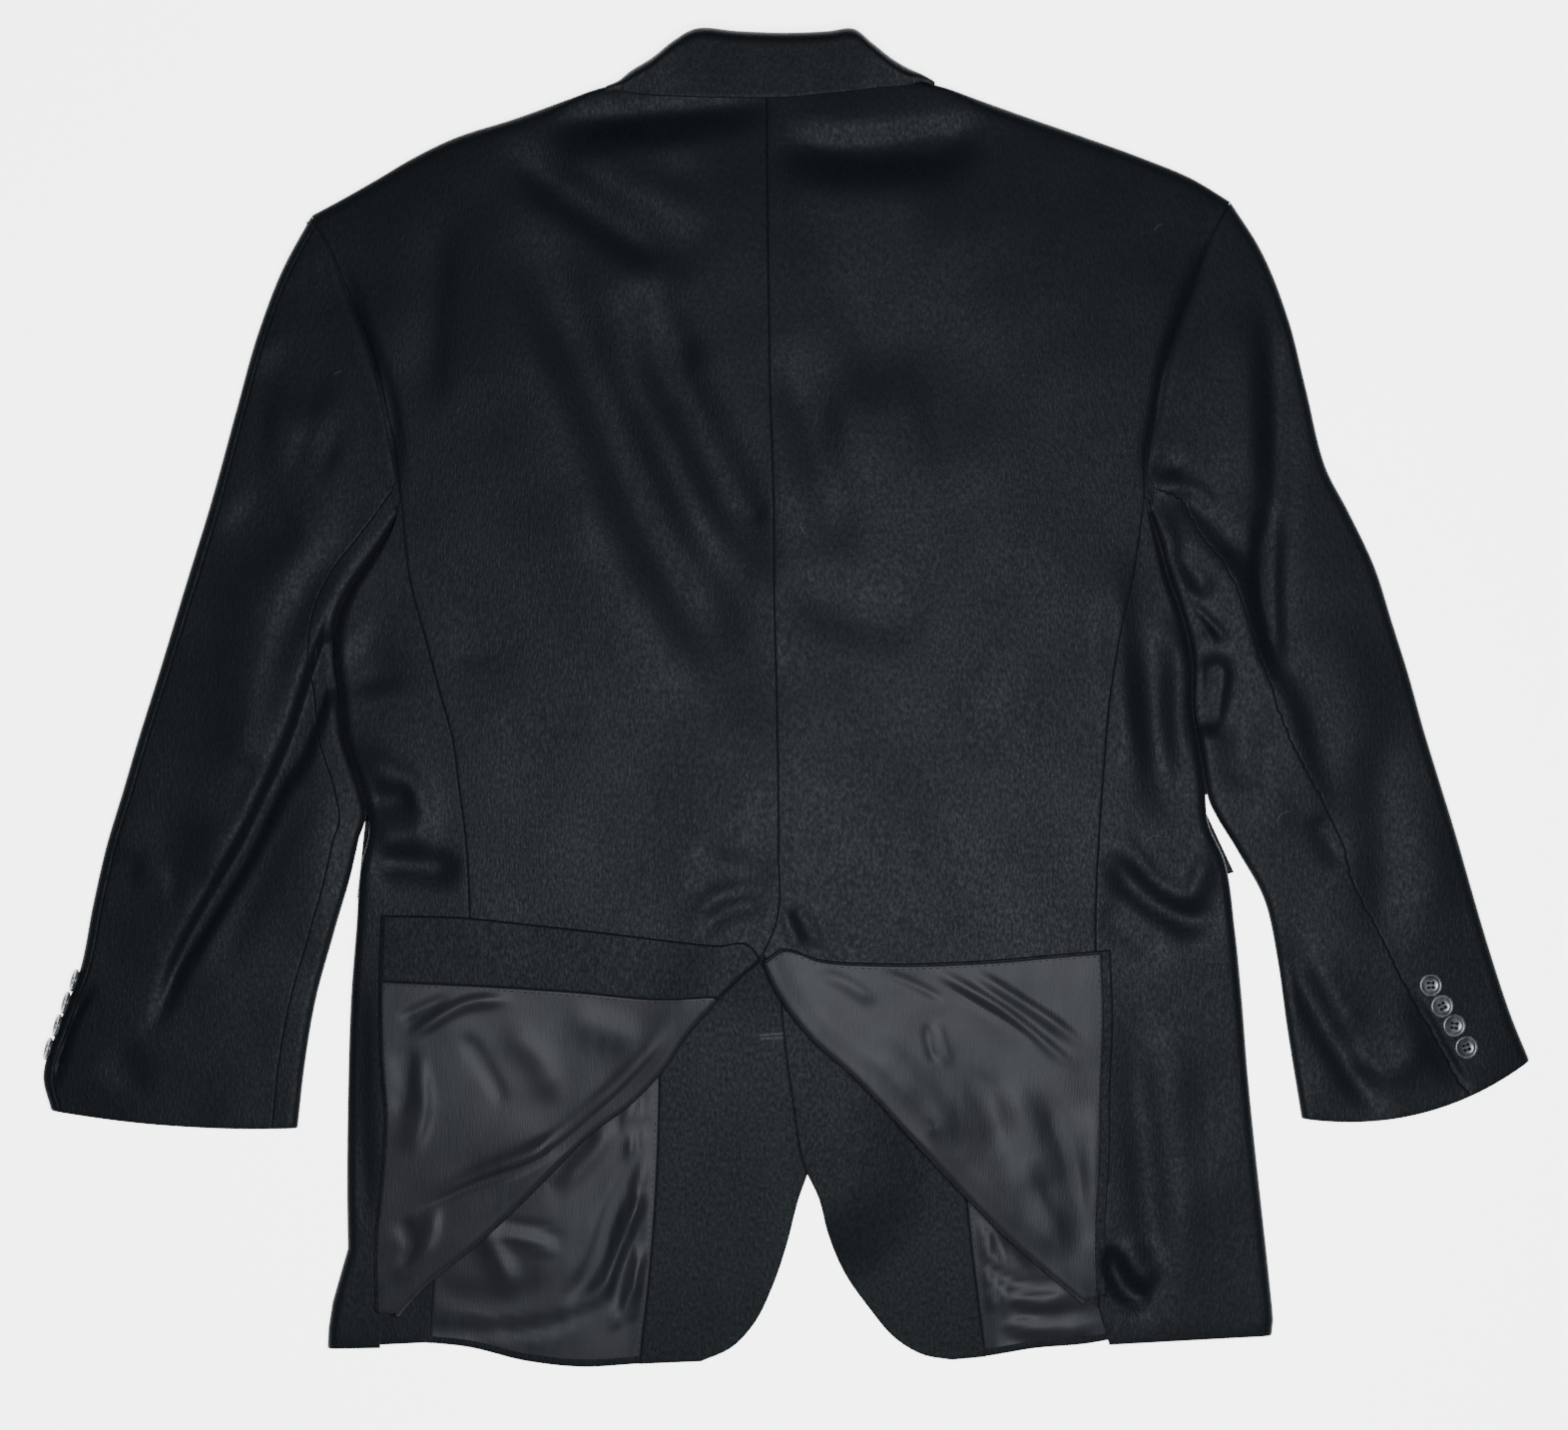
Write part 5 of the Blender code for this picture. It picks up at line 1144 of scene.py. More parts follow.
# plan grid of a turned-up flap: columns from the fold to the hem, rows from the vent edge down.
# With a split line, a row line of the grid runs along it.
def flapPlan(side):
    line = fineLine(flaps[side + "Fold"])
    line = line[lengths(line) > flaps["tipStart"]]
    line = line[lengths(line) < flaps["foldEnd"] * lengths(line)[-1]]
    across = evenly(flaps["columns"])
    hemLine = fineLine(flaps[side + "Hem"])
    topRow = resampled(fineLine([tuple(line[0]), *flaps[side + "Top"]]), across)
    bottomRow = resampled(np.vstack([line[-1], hemLine[-1]]), across)
    down = evenly(flaps["rows"])
    split = flaps[side + "Facing"]
    if split is None:
        return patch(topRow, bottomRow, resampled(line, down), resampled(hemLine, down))
    atFold = np.abs(line[:, 1] - split[0][1]).argmin()
    atHem = np.abs(hemLine[:, 1] - split[-1][1]).argmin()
    splitLine = fineLine([tuple(line[atFold]), *split[1:-1], tuple(hemLine[atHem])])
    splitRow = resampled(splitLine, across)
    down = evenly(flaps["facingRows"])
    foldPart = resampled(line[: atFold + 1], down)
    hemPart = resampled(hemLine[: atHem + 1], down)
    upper = patch(topRow, splitRow, foldPart, hemPart)
    down = evenly(flaps["rows"] - flaps["facingRows"] + 1)
    foldPart = resampled(line[atFold:], down)
    hemPart = resampled(hemLine[atHem:], down)
    lower = patch(splitRow, bottomRow, foldPart, hemPart)
    return np.concatenate([upper, lower[1:]])


# the plan grid with its hem or vent edge drawn back along the grid lines
def shortened(plan, edge, amount):
    if edge == "vent":
        turned = plan.swapaxes(0, 1)[:, ::-1]
        return shortened(turned, "hem", amount)[:, ::-1].swapaxes(0, 1)
    stops = evenly(plan.shape[1])
    return np.array([resampled(line, stops * (1 - amount / lengths(line)[-1])) for line in plan])


# a layer that rolls round the fold and lies back over the panel; lower is its place above the
# flap, and loft the height of its own folds
def turnedLayer(plan, fold, lower, thickness, loft=None):
    edge = plan[:, 0]
    foldLine = fineLine(fold)
    outward = squareOn(edge)
    outward *= np.sign(-outward[:, 1:2])

    def rollSize(points):
        gap, share, _ = nearest(points, foldLine)
        fromTip = share * lengths(foldLine)[-1]
        grown = flaps["tipRoll"] + (1 - flaps["tipRoll"]) * smooth(fromTip / flaps["tipLength"])
        return gap, flaps["roll"] * grown

    def sheetHeight(points):
        gap, roll = rollSize(points)
        settle = flaps["rest"] + (2 * roll - flaps["rest"]) * (1 - smooth(gap / flaps["settle"]))
        level = bodyHeight(points) + settle
        if loft:
            level = level + loft(points) * smooth(gap / flaps["loftStart"])
        return level

    flat = plan.reshape(-1, 2)
    steep = steepness(sheetHeight, flat)
    _, roll = rollSize(edge)
    centre = bodyHeight(edge) + roll
    grids = []
    for reach in (lower + thickness, lower):
        level = sheetHeight(flat) + reach * steep
        sheet = np.column_stack([flat, level]).reshape(plan.shape[:2] + (3,))
        sheet[:, 0, :2] += outward * flaps["foldGap"]
        turned = []
        for step in range(flaps["rollSteps"]):
            turn = -math.pi / 2 + math.pi * step / flaps["rollSteps"]
            away = flaps["foldGap"] + (roll + reach) * math.cos(turn)
            place = edge + outward * away[:, None]
            turned.append(np.column_stack([place, centre + (roll + reach) * math.sin(turn)]))
        grids.append(np.concatenate([np.array(turned).swapaxes(0, 1), sheet], axis=1))
    return grids


# a lower back panel turned up at the vent, with the facing and lining that then show
def ventFlap(side, wool, lining):
    fold = flaps[side + "Fold"]
    plan = flapPlan(side)
    around = ("top", "last", "bottom")
    outer, inner = turnedLayer(plan, fold, 0.0, walls["flap"])
    wall("vent_flap_" + side, outer, inner, wool, free=around)
    over = walls["flap"] + walls["layerGap"]
    innerPlan = shortened(plan, "hem", flaps[side + "HemBand"])

    def loft(points):
        return satinLoft(points, satin[side + "Folds"], satin[side + "Seed"])

    if flaps[side + "Facing"] is None:
        liningPlan = shortened(innerPlan, "vent", flaps[side + "EdgeBand"])
        outer, inner = turnedLayer(liningPlan, fold, over, walls["lining"], loft)
        wall("flap_lining_" + side, outer, inner, lining, free=around)
        return
    facingPlan = shortened(innerPlan[: flaps["facingRows"]], "vent", flaps[side + "EdgeBand"])
    outer, inner = turnedLayer(facingPlan, fold, over, walls["lining"])
    drawnIn(outer, inner, ("bottom",))
    wall("vent_facing_" + side, outer, inner, wool, free=("top", "last"), seams=("bottom",))
    lowerPlan = innerPlan[flaps["facingRows"] - 1 :]
    outer, inner = turnedLayer(lowerPlan, fold, over, walls["lining"], loft)
    drawnIn(outer, inner, ("top",))
    wall("flap_lining_" + side, outer, inner, lining, free=("last", "bottom"), seams=("top",))


# flat layers below the fronts: lapels, collar leaves and pocket flaps
plates = {
    "step": 6.0,
    "flatNormal": 0.999,
    # inset in millimetres and share of the thickness, from the lower face to the upper one
    "edge": ((1.0, 0.0), (0.35, 0.1), (0.0, 0.4), (0.0, 0.65), (0.3, 0.92), (0.9, 1.0)),
    "outlines": {
        "lapel_left": [(-76.5, 307), (6, -90), (-32, 0), (-91, 111.5), (-148, 229.5), (-117, 276)],
        "lapel_right": [
            (61.5, 307), (13, -56), (39, 0), (95, 111.5), (150.5, 229.5), (119.5, 276),
        ],
        "collar_leaf_left": [
            (-105.5, 371.5), (-67.5, 369), (-70, 323.5), (-116, 289), (-139.5, 274), (-148, 316),
            (-129.5, 356.5),
        ],
        "collar_leaf_right": [
            (86, 373), (50, 371.5), (55, 323.5), (101, 289), (124.5, 274), (133.5, 316),
            (111, 358.5),
        ],
        "pocket_flap_left": [
            (-260.5, -71.5), (-122, -93), (-121, -136.5), (-129.5, -146.5), (-266, -124),
        ],
        "pocket_flap_right": [
            (260.5, -69.5), (126, -93), (124.5, -136.5), (133.5, -146.5), (278.5, -108),
        ],
    },
}


# faces between the rings of a closed form, and its two caps, each round a point after the rings
def ringFaces(count, rings):
    here = np.arange(count)
    after = np.roll(here, -1)
    last = (rings - 1) * count
    quads = np.column_stack([here, after, after + count, here + count])
    ends = [np.full(count, rings * count), np.full(count, rings * count + 1)]
    caps = [
        np.column_stack([after, here, ends[0]]),
        np.column_stack([here + last, after + last, ends[1]]),
    ]
    return [quads + low for low in range(0, last, count)], caps


# a flat layer of the given outline, its edge rounded
def plate(name, outline, material):
    line = np.array(outline, float)
    closed = np.vstack([line, line[:1]])
    run = lengths(closed)
    stops = np.unique(np.concatenate([run, np.arange(0, run[-1], plates["step"])]))[:-1]
    line = resampled(closed, stops / run[-1])
    x, y = line.T
    area = (x * np.roll(y, -1) - y * np.roll(x, -1)).sum() / 2
    into = unit(np.roll(line, -1, axis=0) - np.roll(line, 1, axis=0))
    into = np.column_stack([-into[:, 1], into[:, 0]]) * np.sign(area)
    count = len(line)
    rings = [
        np.column_stack([line + into * inset, np.full(count, share * walls["under"])])
        for inset, share in plates["edge"]
    ]
    middle = line.mean(axis=0)
    points = np.vstack([*rings, (*middle, 0.0), (*middle, walls["under"])])
    quads, caps = ringFaces(count, len(rings))
    boxes = []
    for turn in np.radians(np.arange(0, 90, 3)):
        x, y = np.array([math.cos(turn), -math.sin(turn)]), np.array(
            [math.sin(turn), math.cos(turn)]
        )
        boxes.append(np.ptp(line @ np.array([x, y]), axis=0))
    size = min(boxes, key=np.prod)  # the smallest box that the outline fits in
    cutSizes[name] = (size[0] * mm, size[1] * mm, abs(area) * mm**2)
    piece = finishMesh(name, [(points, [*quads, *caps])], material)
    for face in piece.data.polygons:
        face.use_smooth = abs(face.normal.z) < plates["flatNormal"]


# the collar: fall, roll and stand
collar = {
    "sections": 110,
    "steps": 14,
    "standSteps": 3,
    "height": 10.0,
    "rise": 3.4,
    "riseOver": 30.0,
    # x, then y of the fall's edge, of the top and of the stand's end, then the height of
    # the lower arm at the top and at its end
    "stations": [
        (-111.5, 375.5, 379.6, 375.5, 0.0, 0.0), (-103.5, 376.5, 383, 376.5, 0.0, 0.0),
        (-97.5, 375, 388, 375, 0.0, 0.0), (-83, 373, 397, 373, 0.0, 0.0),
        (-69, 372.5, 408, 372.5, 0.3, 0.3), (-56, 372, 415, 382, 1.0, 1.6),
        (-29, 371.5, 413.5, 384.5, 1.4, 3.4), (-2, 371.5, 412.5, 385, 1.4, 3.4),
        (26.5, 374, 413.5, 385.5, 1.4, 3.4), (42, 375.5, 415, 383, 1.0, 1.6),
        (53.5, 377, 406.5, 377, 0.3, 0.3), (67, 378, 396, 378, 0.0, 0.0),
        (76.5, 379.5, 390.5, 379.5, 0.0, 0.0), (84.5, 381.5, 387, 381.5, 0.0, 0.0),
        (92.5, 379, 382.3, 379, 0.0, 0.0),
    ],
}


# fall, roll and stand behind the neck, a section for each station across
def collarPiece(name, material):
    stations = curve(collar["stations"], collar["sections"])
    stations[:, 4:] = np.maximum(stations[:, 4:], 0.0)
    outer, inner = [], []
    for across, edge, top, end, lowTop, lowEnd in stations:
        depth = abs(top - edge)
        radius = min(sides["edgeRadius"], depth * sides["edgeShare"])
        fall = np.linspace(edge, top - radius, collar["steps"])
        base = bodyHeight(np.column_stack([np.full(collar["steps"], across), fall]))
        level = np.maximum(base.max() + walls["layerGap"] + walls["wool"], collar["height"])
        rise = collar["rise"] * min(1.0, depth / collar["riseOver"])
        levels = level + rise * evenly(collar["steps"])
        half = (levels[-1] - lowTop) / 2
        arm = np.linspace(top - radius, end, collar["standSteps"])
        armLow = np.linspace(lowTop, lowEnd, collar["standSteps"])
        rowOuter = [(across, *place) for place in zip(fall[:-1], levels)]
        rowInner = [
            (across, place, high - walls["wool"]) for place, high in zip(fall[:-1], levels)
        ]
        for step in range(sides["edgeSteps"] + 1):
            turn = math.pi * step / sides["edgeSteps"]
            for row, cut in ((rowOuter, 0.0), (rowInner, walls["wool"])):
                place = top - radius + (radius - cut) * math.sin(turn)
                row.append((across, place, lowTop + half + (half - cut) * math.cos(turn)))
        rowOuter += [(across, place, low) for place, low in zip(arm[1:], armLow[1:])]
        rowInner += [
            (across, place, low + walls["wool"]) for place, low in zip(arm[1:], armLow[1:])
        ]
        outer.append(rowOuter)
        inner.append(rowInner)
    around = ("first", "last", "top", "bottom")
    wall(name, np.array(outer), np.array(inner), material, free=around)


# the buttons
buttons = {
    "cuff": 14.6,
    "front": 20.0,
    "thickness": 2.4,
    "sides": 56,
    "seatSteps": 2,
    # the left cuff is seen from the side, so its buttons stand on edge
    "leftHeight": 6.9,
    "leftAxis": (-0.92, 0.27, 0.28),
    "holeReach": 0.1,
    "holeSize": 0.07,
    "holeSides": 14,
    "dish": 0.62,
    "thread": 0.34,
    "threadSides": 6,
    "threadFoot": 0.3,
    "threadLean": 0.3,
    "threadRise": (0.4, 0.5),
    "turns": (0.35, 0.8, 0.15, 0.6),
    "frontTurn": 0.4,
    "sharpAngle": math.radians(40),
    # share of the diameter and of the thickness, from the middle of the back round the rim
    "profile": (
        (0.0, 0.0), (0.42, 0.0), (0.488, 0.3), (0.5, 0.55), (0.492, 0.76), (0.47, 0.92),
        (0.435, 1.0), (0.395, 0.98), (0.355, 0.86), (0.325, 0.7), (0.305, 0.62), (0.15, 0.62),
        (0.0, 0.62),
    ),
    "rightPlaces": [(399.5, -177.5), (406.5, -190.5), (414, -202.5), (421.5, -216)],
    "leftPlaces": [(-439.5, -175), (-446, -188.5), (-451.5, -202.5), (-457, -217)],
    # the front that each front button lies against, and its place
    "frontPlaces": [("left", 7.5, -111.5), ("right", 29, -209.5)],
}


# a four-sided or rounder rod along a path, closed at its ends
def rod(path, radius, count):
    path = np.array(path, float)
    along = unit(np.gradient(path, axis=0))
    side = unit(np.cross(along, (0.31, 0.17, 0.93)))
    other = np.cross(along, side)
    turn = np.arange(count) * 2 * math.pi / count
    ring = side[:, None] * np.cos(turn)[:, None] + other[:, None] * np.sin(turn)[:, None]
    points = np.concatenate([(path[:, None] + ring * radius).reshape(-1, 3), path[:1], path[-1:]])
    quads, caps = ringFaces(count, len(path))
    return points, [*quads, *caps]


# two bars of thread between a button's holes
def threadBars(diameter):
    reach = buttons["holeReach"] * diameter
    high = buttons["thickness"] * buttons["dish"]
    edge, middle = buttons["threadRise"]
    bars = []
    for y in (-reach, reach):
        for lean in (-buttons["threadLean"], buttons["threadLean"]):
            path = [
                (-reach, y + lean, buttons["threadFoot"]),
                (-reach, y + lean, high),
                (-reach * 0.7, y + lean, high + edge),
                (0.0, y + lean * 0.8, high + middle),
                (reach * 0.7, y + lean, high + edge),
                (reach, y + lean, high),
                (reach, y + lean, buttons["threadFoot"]),
            ]
            bars.append(rod(path, buttons["thread"] / 2, buttons["threadSides"]))
    return bars


# points and faces of a turned button with its four holes bored
def buttonShape(diameter):
    count = buttons["sides"]
    profile = np.array(buttons["profile"])
    turn = np.arange(count) * 2 * math.pi / count
    ring = np.column_stack([np.cos(turn), np.sin(turn)])
    rows = [
        np.column_stack([ring * reach * diameter, np.full(count, high * buttons["thickness"])])
        for reach, high in profile[1:-1]
    ]
    ends = [(0, 0, high * buttons["thickness"]) for high in profile[[0, -1], 1]]
    quads, caps = ringFaces(count, len(rows))
    faces = np.concatenate(caps).tolist() + np.concatenate(quads).tolist()
    blank = plainObject("button blank", np.vstack([*rows, *ends]), faces)

    drills, drillFaces = [], []
    for x, y in ((1, 1), (-1, 1), (-1, -1), (1, -1)):
        place = np.array((x, y, 0)) * buttons["holeReach"] * diameter
        path = [place + (0, 0, level) for level in (-1.0, 1.5, buttons["thickness"] + 1.0)]
        corners, groups = rod(path, buttons["holeSize"] * diameter, buttons["holeSides"])
        drillFaces += [(face + len(drills)).tolist() for group in groups for face in group]
        drills += corners.tolist()
    drill = plainObject("button drill", drills, drillFaces)
    bore = blank.modifiers.new("holes", "BOOLEAN")
    bore.operation, bore.solver, bore.object = "DIFFERENCE", "EXACT", drill
    graph = bpy.context.evaluated_depsgraph_get()
    bored = bpy.data.meshes.new_from_object(blank.evaluated_get(graph))
    bpy.data.objects.remove(blank)
    bpy.data.objects.remove(drill)
    corners = np.array([vertex.co for vertex in bored.vertices])
    return corners, [list(face.vertices) for face in bored.polygons]


# a button seated on the cloth, turned about its axis, with its sewing thread
def button(name, centre, axis, diameter, turnBy, horn, threadMaterial):
    axis = unit(np.array(axis, float))
    side = unit(np.cross(axis, (0.3, 1.0, 0.2)))
    other = np.cross(axis, side)
    across = side * math.cos(turnBy) + other * math.sin(turnBy)
    place = np.array([across, np.cross(axis, across), axis])
    points, faces = buttonShape(diameter)
    hornFaces = len(faces)
    points = [points]
    base = len(points[0])
    for corners, groups in threadBars(diameter):
        faces += [(face + base).tolist() for group in groups for face in group]
        points.append(corners)
        base += len(corners)
    placed = (np.array(centre, float) + np.concatenate(points) @ place + shift) * mm
    piece = plainObject(name, placed, faces)
    mesh = piece.data
    mesh.materials.append(horn)
    mesh.materials.append(threadMaterial)
    mesh.polygons.foreach_set("material_index", [0] * hornFaces + [1] * (len(faces) - hornFaces))
    mesh.shade_smooth()
    mesh.set_sharp_from_angle(angle=buttons["sharpAngle"])
    made[name] = piece


# points spread over the triangles of a grid
def surfacePoints(grid):
    a, b = grid[:-1, :-1].reshape(-1, 3), grid[:-1, 1:].reshape(-1, 3)
    c, d = grid[1:, 1:].reshape(-1, 3), grid[1:, :-1].reshape(-1, 3)
    spread = []
    for step in range(buttons["seatSteps"] + 1):
        for other in range(buttons["seatSteps"] + 1 - step):
            u, v = step / buttons["seatSteps"], other / buttons["seatSteps"]
            spread.append(a + (b - a) * u + (c - a) * v)
            spread.append(a + (c - a) * u + (d - a) * v)
    return np.concatenate(spread)


# the middle of a button's underside, moved along its axis until it is just clear of the surface
def seated(surface, middle, axis, diameter):
    away = surface - middle
    along = away @ axis
    beside = np.linalg.norm(away - along[:, None] * axis, axis=1)
    reach, high = np.array(buttons["profile"][1:3]).T
    along -= np.interp(beside, reach * diameter, high * buttons["thickness"])
    near = (beside < diameter / 2) & (np.abs(along) < diameter / 2)
    return middle + axis * (along[near].max() + walls["seamGap"])


# middle and upward axis of the surface under a disc at a plan point
def facingUp(surface, place, diameter):
    near = surface[np.linalg.norm(surface[:, :2] - place, axis=1) < diameter / 2]
    columns = np.column_stack([near[:, :2] - place, np.ones(len(near))])
    slopeX, slopeY, level = np.linalg.lstsq(columns, near[:, 2], rcond=None)[0]
    return np.array([*place, level]), unit(np.array([-slopeX, -slopeY, 1.0]))


# a colour written as on the web, turned to Blender's linear values
def webColour(code):
    parts = [int(code[at : at + 2], 16) / 255 for at in (1, 3, 5)]
    linear = [
        part / 12.92 if part <= 0.04045 else ((part + 0.055) / 1.055) ** 2.4 for part in parts
    ]
    return (*linear, 1.0)


# adds one node with its settings and links: a value is set, a socket or a node's first output is
# linked
def addNode(tree, kind, settings=None, **sockets):
    node = tree.nodes.new(kind)
    for key, value in (settings or {}).items():
        setattr(node, key, value)
    for key, value in sockets.items():
        numbered = key[0] == "i" and key[1:].isdigit()
        socket = node.inputs[int(key[1:])] if numbered else node.inputs[key]
        if isinstance(value, bpy.types.Node):
            value = value.outputs[0]
        if isinstance(value, bpy.types.NodeSocket):
            tree.links.new(value, socket)
        else:
            socket.default_value = value
    return node


# a new material with its noise patterns, on Object coordinates: each has a size in millimetres,
# its share of that size across the cloth's length, an offset, and its detail
def startedMaterial(name, patterns):
    material = bpy.data.materials.new(name)
    material.use_nodes = True
    material.node_tree.nodes.clear()
    add = partial(addNode, material.node_tree)
    if patterns:
        place = add("ShaderNodeTexCoord").outputs["Object"]
    found = []
    for size, stretch, offset, detail in patterns:
        turned = add(
            "ShaderNodeMapping", Vector=place,
            Scale=(1.0, stretch, 1.0), Location=(offset, offset, 0.0),
        )
        scale = 1 / (size * mm)
        found.append(add("ShaderNodeTexNoise", Vector=turned, Scale=scale, Detail=detail))
    return material, add, found


# the colour that a pattern gives: from one colour to another over a span of its values
def patternColour(add, pattern, span, start, end):
    limits = {"From Min": span[0], "From Max": span[1]}
    share = add("ShaderNodeMapRange", Value=pattern, **limits)
    mix = add("ShaderNodeMix", {"data_type": "RGBA"}, i0=share, i6=start, i7=end)
    return mix.outputs[2]


def endMaterial(add, shader):
    add("ShaderNodeOutputMaterial", Surface=shader)


wool = {
    # black wool, milled and brushed: it swallows most light, so folds only show softly, and the
    # short fibres catch it unevenly
    "colour": "#111418",
    "darker": "#0a0d10",
    "faceColour": "#14181b",
    "faceGloss": 0.045,
    "roughness": 0.46,
    "gloss": 0.06,
    "fleck": 0.16,
    "sheen": 0.03,
    "sheenRoughness": 0.5,
    "nap": 0.55,
    "napDepth": 0.0004,
    "threadShare": 0.4,
    "patchShare": 0.16,
    "toneSpan": (0.32, 0.68),
    "roughSpan": (0.36, 0.64),
    # flecks, broad patches, brushed nap and thread; the real thread is 0.3 mm apart and is
    # drawn coarser, so that it shows
    "patterns": (
        (1.7, 0.55, 0.0, 3.0), (30.0, 0.5, 3.1, 2.0), (1.3, 0.3, 7.7, 4.0), (0.6, 1.0, 1.3, 1.0),
    ),
}


def woolCloth(name="Milled Black Wool", colour=None, gloss=None):
    material, add, found = startedMaterial(name, wool["patterns"])
    fleck, patchy, nap, thread = found
    share = wool["patchShare"]
    both = add("ShaderNodeMix", Factor=share, i2=fleck, i3=patchy)
    dark, light = webColour(wool["darker"]), webColour(colour or wool["colour"])
    mixed = patternColour(add, both, wool["toneSpan"], dark, light)
    rough = add("ShaderNodeMapRange", Value=both, **{
        "From Min": wool["roughSpan"][0],
        "From Max": wool["roughSpan"][1],
        "To Min": wool["roughness"] * (1 + wool["fleck"]),
        "To Max": wool["roughness"] * (1 - wool["fleck"]),
    })
    height = add(
        "ShaderNodeMath", {"operation": "MULTIPLY_ADD"},
        i0=thread, i1=wool["threadShare"], i2=nap,
    )
    bump = add("ShaderNodeBump", Height=height, Strength=wool["nap"], Distance=wool["napDepth"])
    endMaterial(add, add("ShaderNodeBsdfPrincipled", Normal=bump, **{
        "Base Color": mixed,
        "Roughness": rough,
        "Specular IOR Level": gloss or wool["gloss"],
        "Sheen Weight": wool["sheen"],
        "Sheen Roughness": wool["sheenRoughness"],
    }))
    return material


satinCloth = {
    # long smooth floats of filament yarn, shot with a warmer weft: the gloss lies across them,
    # and the colour turns from blue grey to plum from place to place
    "colour": "#1e2124",
    "darker": "#17181c",
    "warm": "#1e1d22",
    "roughness": 0.42,
    "gloss": 0.085,
    "brushed": 0.5,
    "grain": 0.8,
    "grainDepth": 0.0001,
    "toneSpan": (0.3, 0.7),
    "warmSpan": (0.42, 0.58),
    # slubs, patches that turn warm, and yarn; the real yarn is 0.15 mm wide and is drawn
    # coarser, so that it shows
    "patterns": ((6.0, 0.15, 0.0, 3.0), (45.0, 1.0, 9.0, 2.0), (0.9, 0.12, 5.0, 2.0)),
}


def satinMaterial():
    material, add, found = startedMaterial("Charcoal Satin Lining", satinCloth["patterns"])
    slub, shot, thread = found
    dark, light = webColour(satinCloth["darker"]), webColour(satinCloth["colour"])
    mixed = patternColour(add, slub, satinCloth["toneSpan"], dark, light)
    warm = webColour(satinCloth["warm"])
    mixed = patternColour(add, shot, satinCloth["warmSpan"], mixed, warm)
    bump = add(
        "ShaderNodeBump",
        Height=thread, Strength=satinCloth["grain"], Distance=satinCloth["grainDepth"],
    )
    endMaterial(add, add("ShaderNodeBsdfPrincipled", Normal=bump, **{
        "Base Color": mixed,
        "Roughness": satinCloth["roughness"],
        "Specular IOR Level": satinCloth["gloss"],
        "Anisotropic": satinCloth["brushed"],
    }))
    return material


horn = {
    # sawn from a plate and polished by tumbling: a hard gloss with faint scuffs
    "colour": "#26272b",
    "vein": "#4e4f55",
    "roughness": 0.27,
    "scuff": 0.02,
    "ior": 1.54,
    "veinSpan": (0.4, 0.75),
    # veins, scuffs
    "patterns": ((3.0, 0.3, 0.0, 3.0), (0.8, 1.0, 2.0, 3.0)),
}


def hornMaterial():
    material, add, found = startedMaterial("Polished Dark Horn", horn["patterns"])
    vein, scuff = found
    dark, light = webColour(horn["colour"]), webColour(horn["vein"])
    mixed = patternColour(add, vein, horn["veinSpan"], dark, light)
    rough = add("ShaderNodeMapRange", Value=scuff, **{
        "To Min": horn["roughness"] - horn["scuff"],
        "To Max": horn["roughness"] + horn["scuff"],
    })
    endMaterial(add, add(
        "ShaderNodeBsdfPrincipled",
        Roughness=rough, IOR=horn["ior"], **{"Base Color": mixed},
    ))
    return material


threadLook = {
    # spun and waxed sewing thread: dull, with a fine twist
    "colour": "#0c0d0f",
    "buttonhole": "#414549",
    "roughness": 0.6,
    "gloss": 0.2,
    "twist": 0.5,
    "twistDepth": 0.0001,
    "patterns": ((0.3, 1.0, 0.0, 1.0),),
}


def threadMaterial(name="Black Sewing Thread", colour=None):
    material, add, (twist,) = startedMaterial(name, threadLook["patterns"])
    bump = add(
        "ShaderNodeBump",
        Height=twist, Strength=threadLook["twist"], Distance=threadLook["twistDepth"],
    )
    endMaterial(add, add("ShaderNodeBsdfPrincipled", Normal=bump, **{
        "Base Color": webColour(colour or threadLook["colour"]),
        "Roughness": threadLook["roughness"],
        "Specular IOR Level": threadLook["gloss"],
    }))
    return material


lint = {
    # loose cotton fluff: matt, and uneven in tone
    "light": "#6f7276",
    "dark": "#45484c",
    "roughness": 0.8,
    "patterns": ((1.5, 1.0, 0.0, 1.0),),
    "thickness": 0.15,
    "steps": 9,
    "sides": 5,
    # place in plan, length, bend, turn in degrees
    "places": [
        (-277.0, 201.5, 4.5, 0.8, 20.0), (-1.0, 31.0, 10.0, 3.0, 75.0),
        (11.0, 105.5, 8.0, 1.0, 110.0), (231.0, 291.5, 7.0, 1.2, 40.0),
        (228.0, -87.0, 10.0, 2.0, 15.0), (309.0, -74.5, 12.0, 3.5, 50.0),
    ],
}


def lintMaterial():
    material, add, (twist,) = startedMaterial("Loose Grey Lint", lint["patterns"])
    tone = add(
        "ShaderNodeMix", {"data_type": "RGBA"},
        i0=twist, i6=webColour(lint["dark"]), i7=webColour(lint["light"]),
    ).outputs[2]
    endMaterial(add, add(
        "ShaderNodeBsdfPrincipled", Roughness=lint["roughness"], **{"Base Color": tone}
    ))
    return material


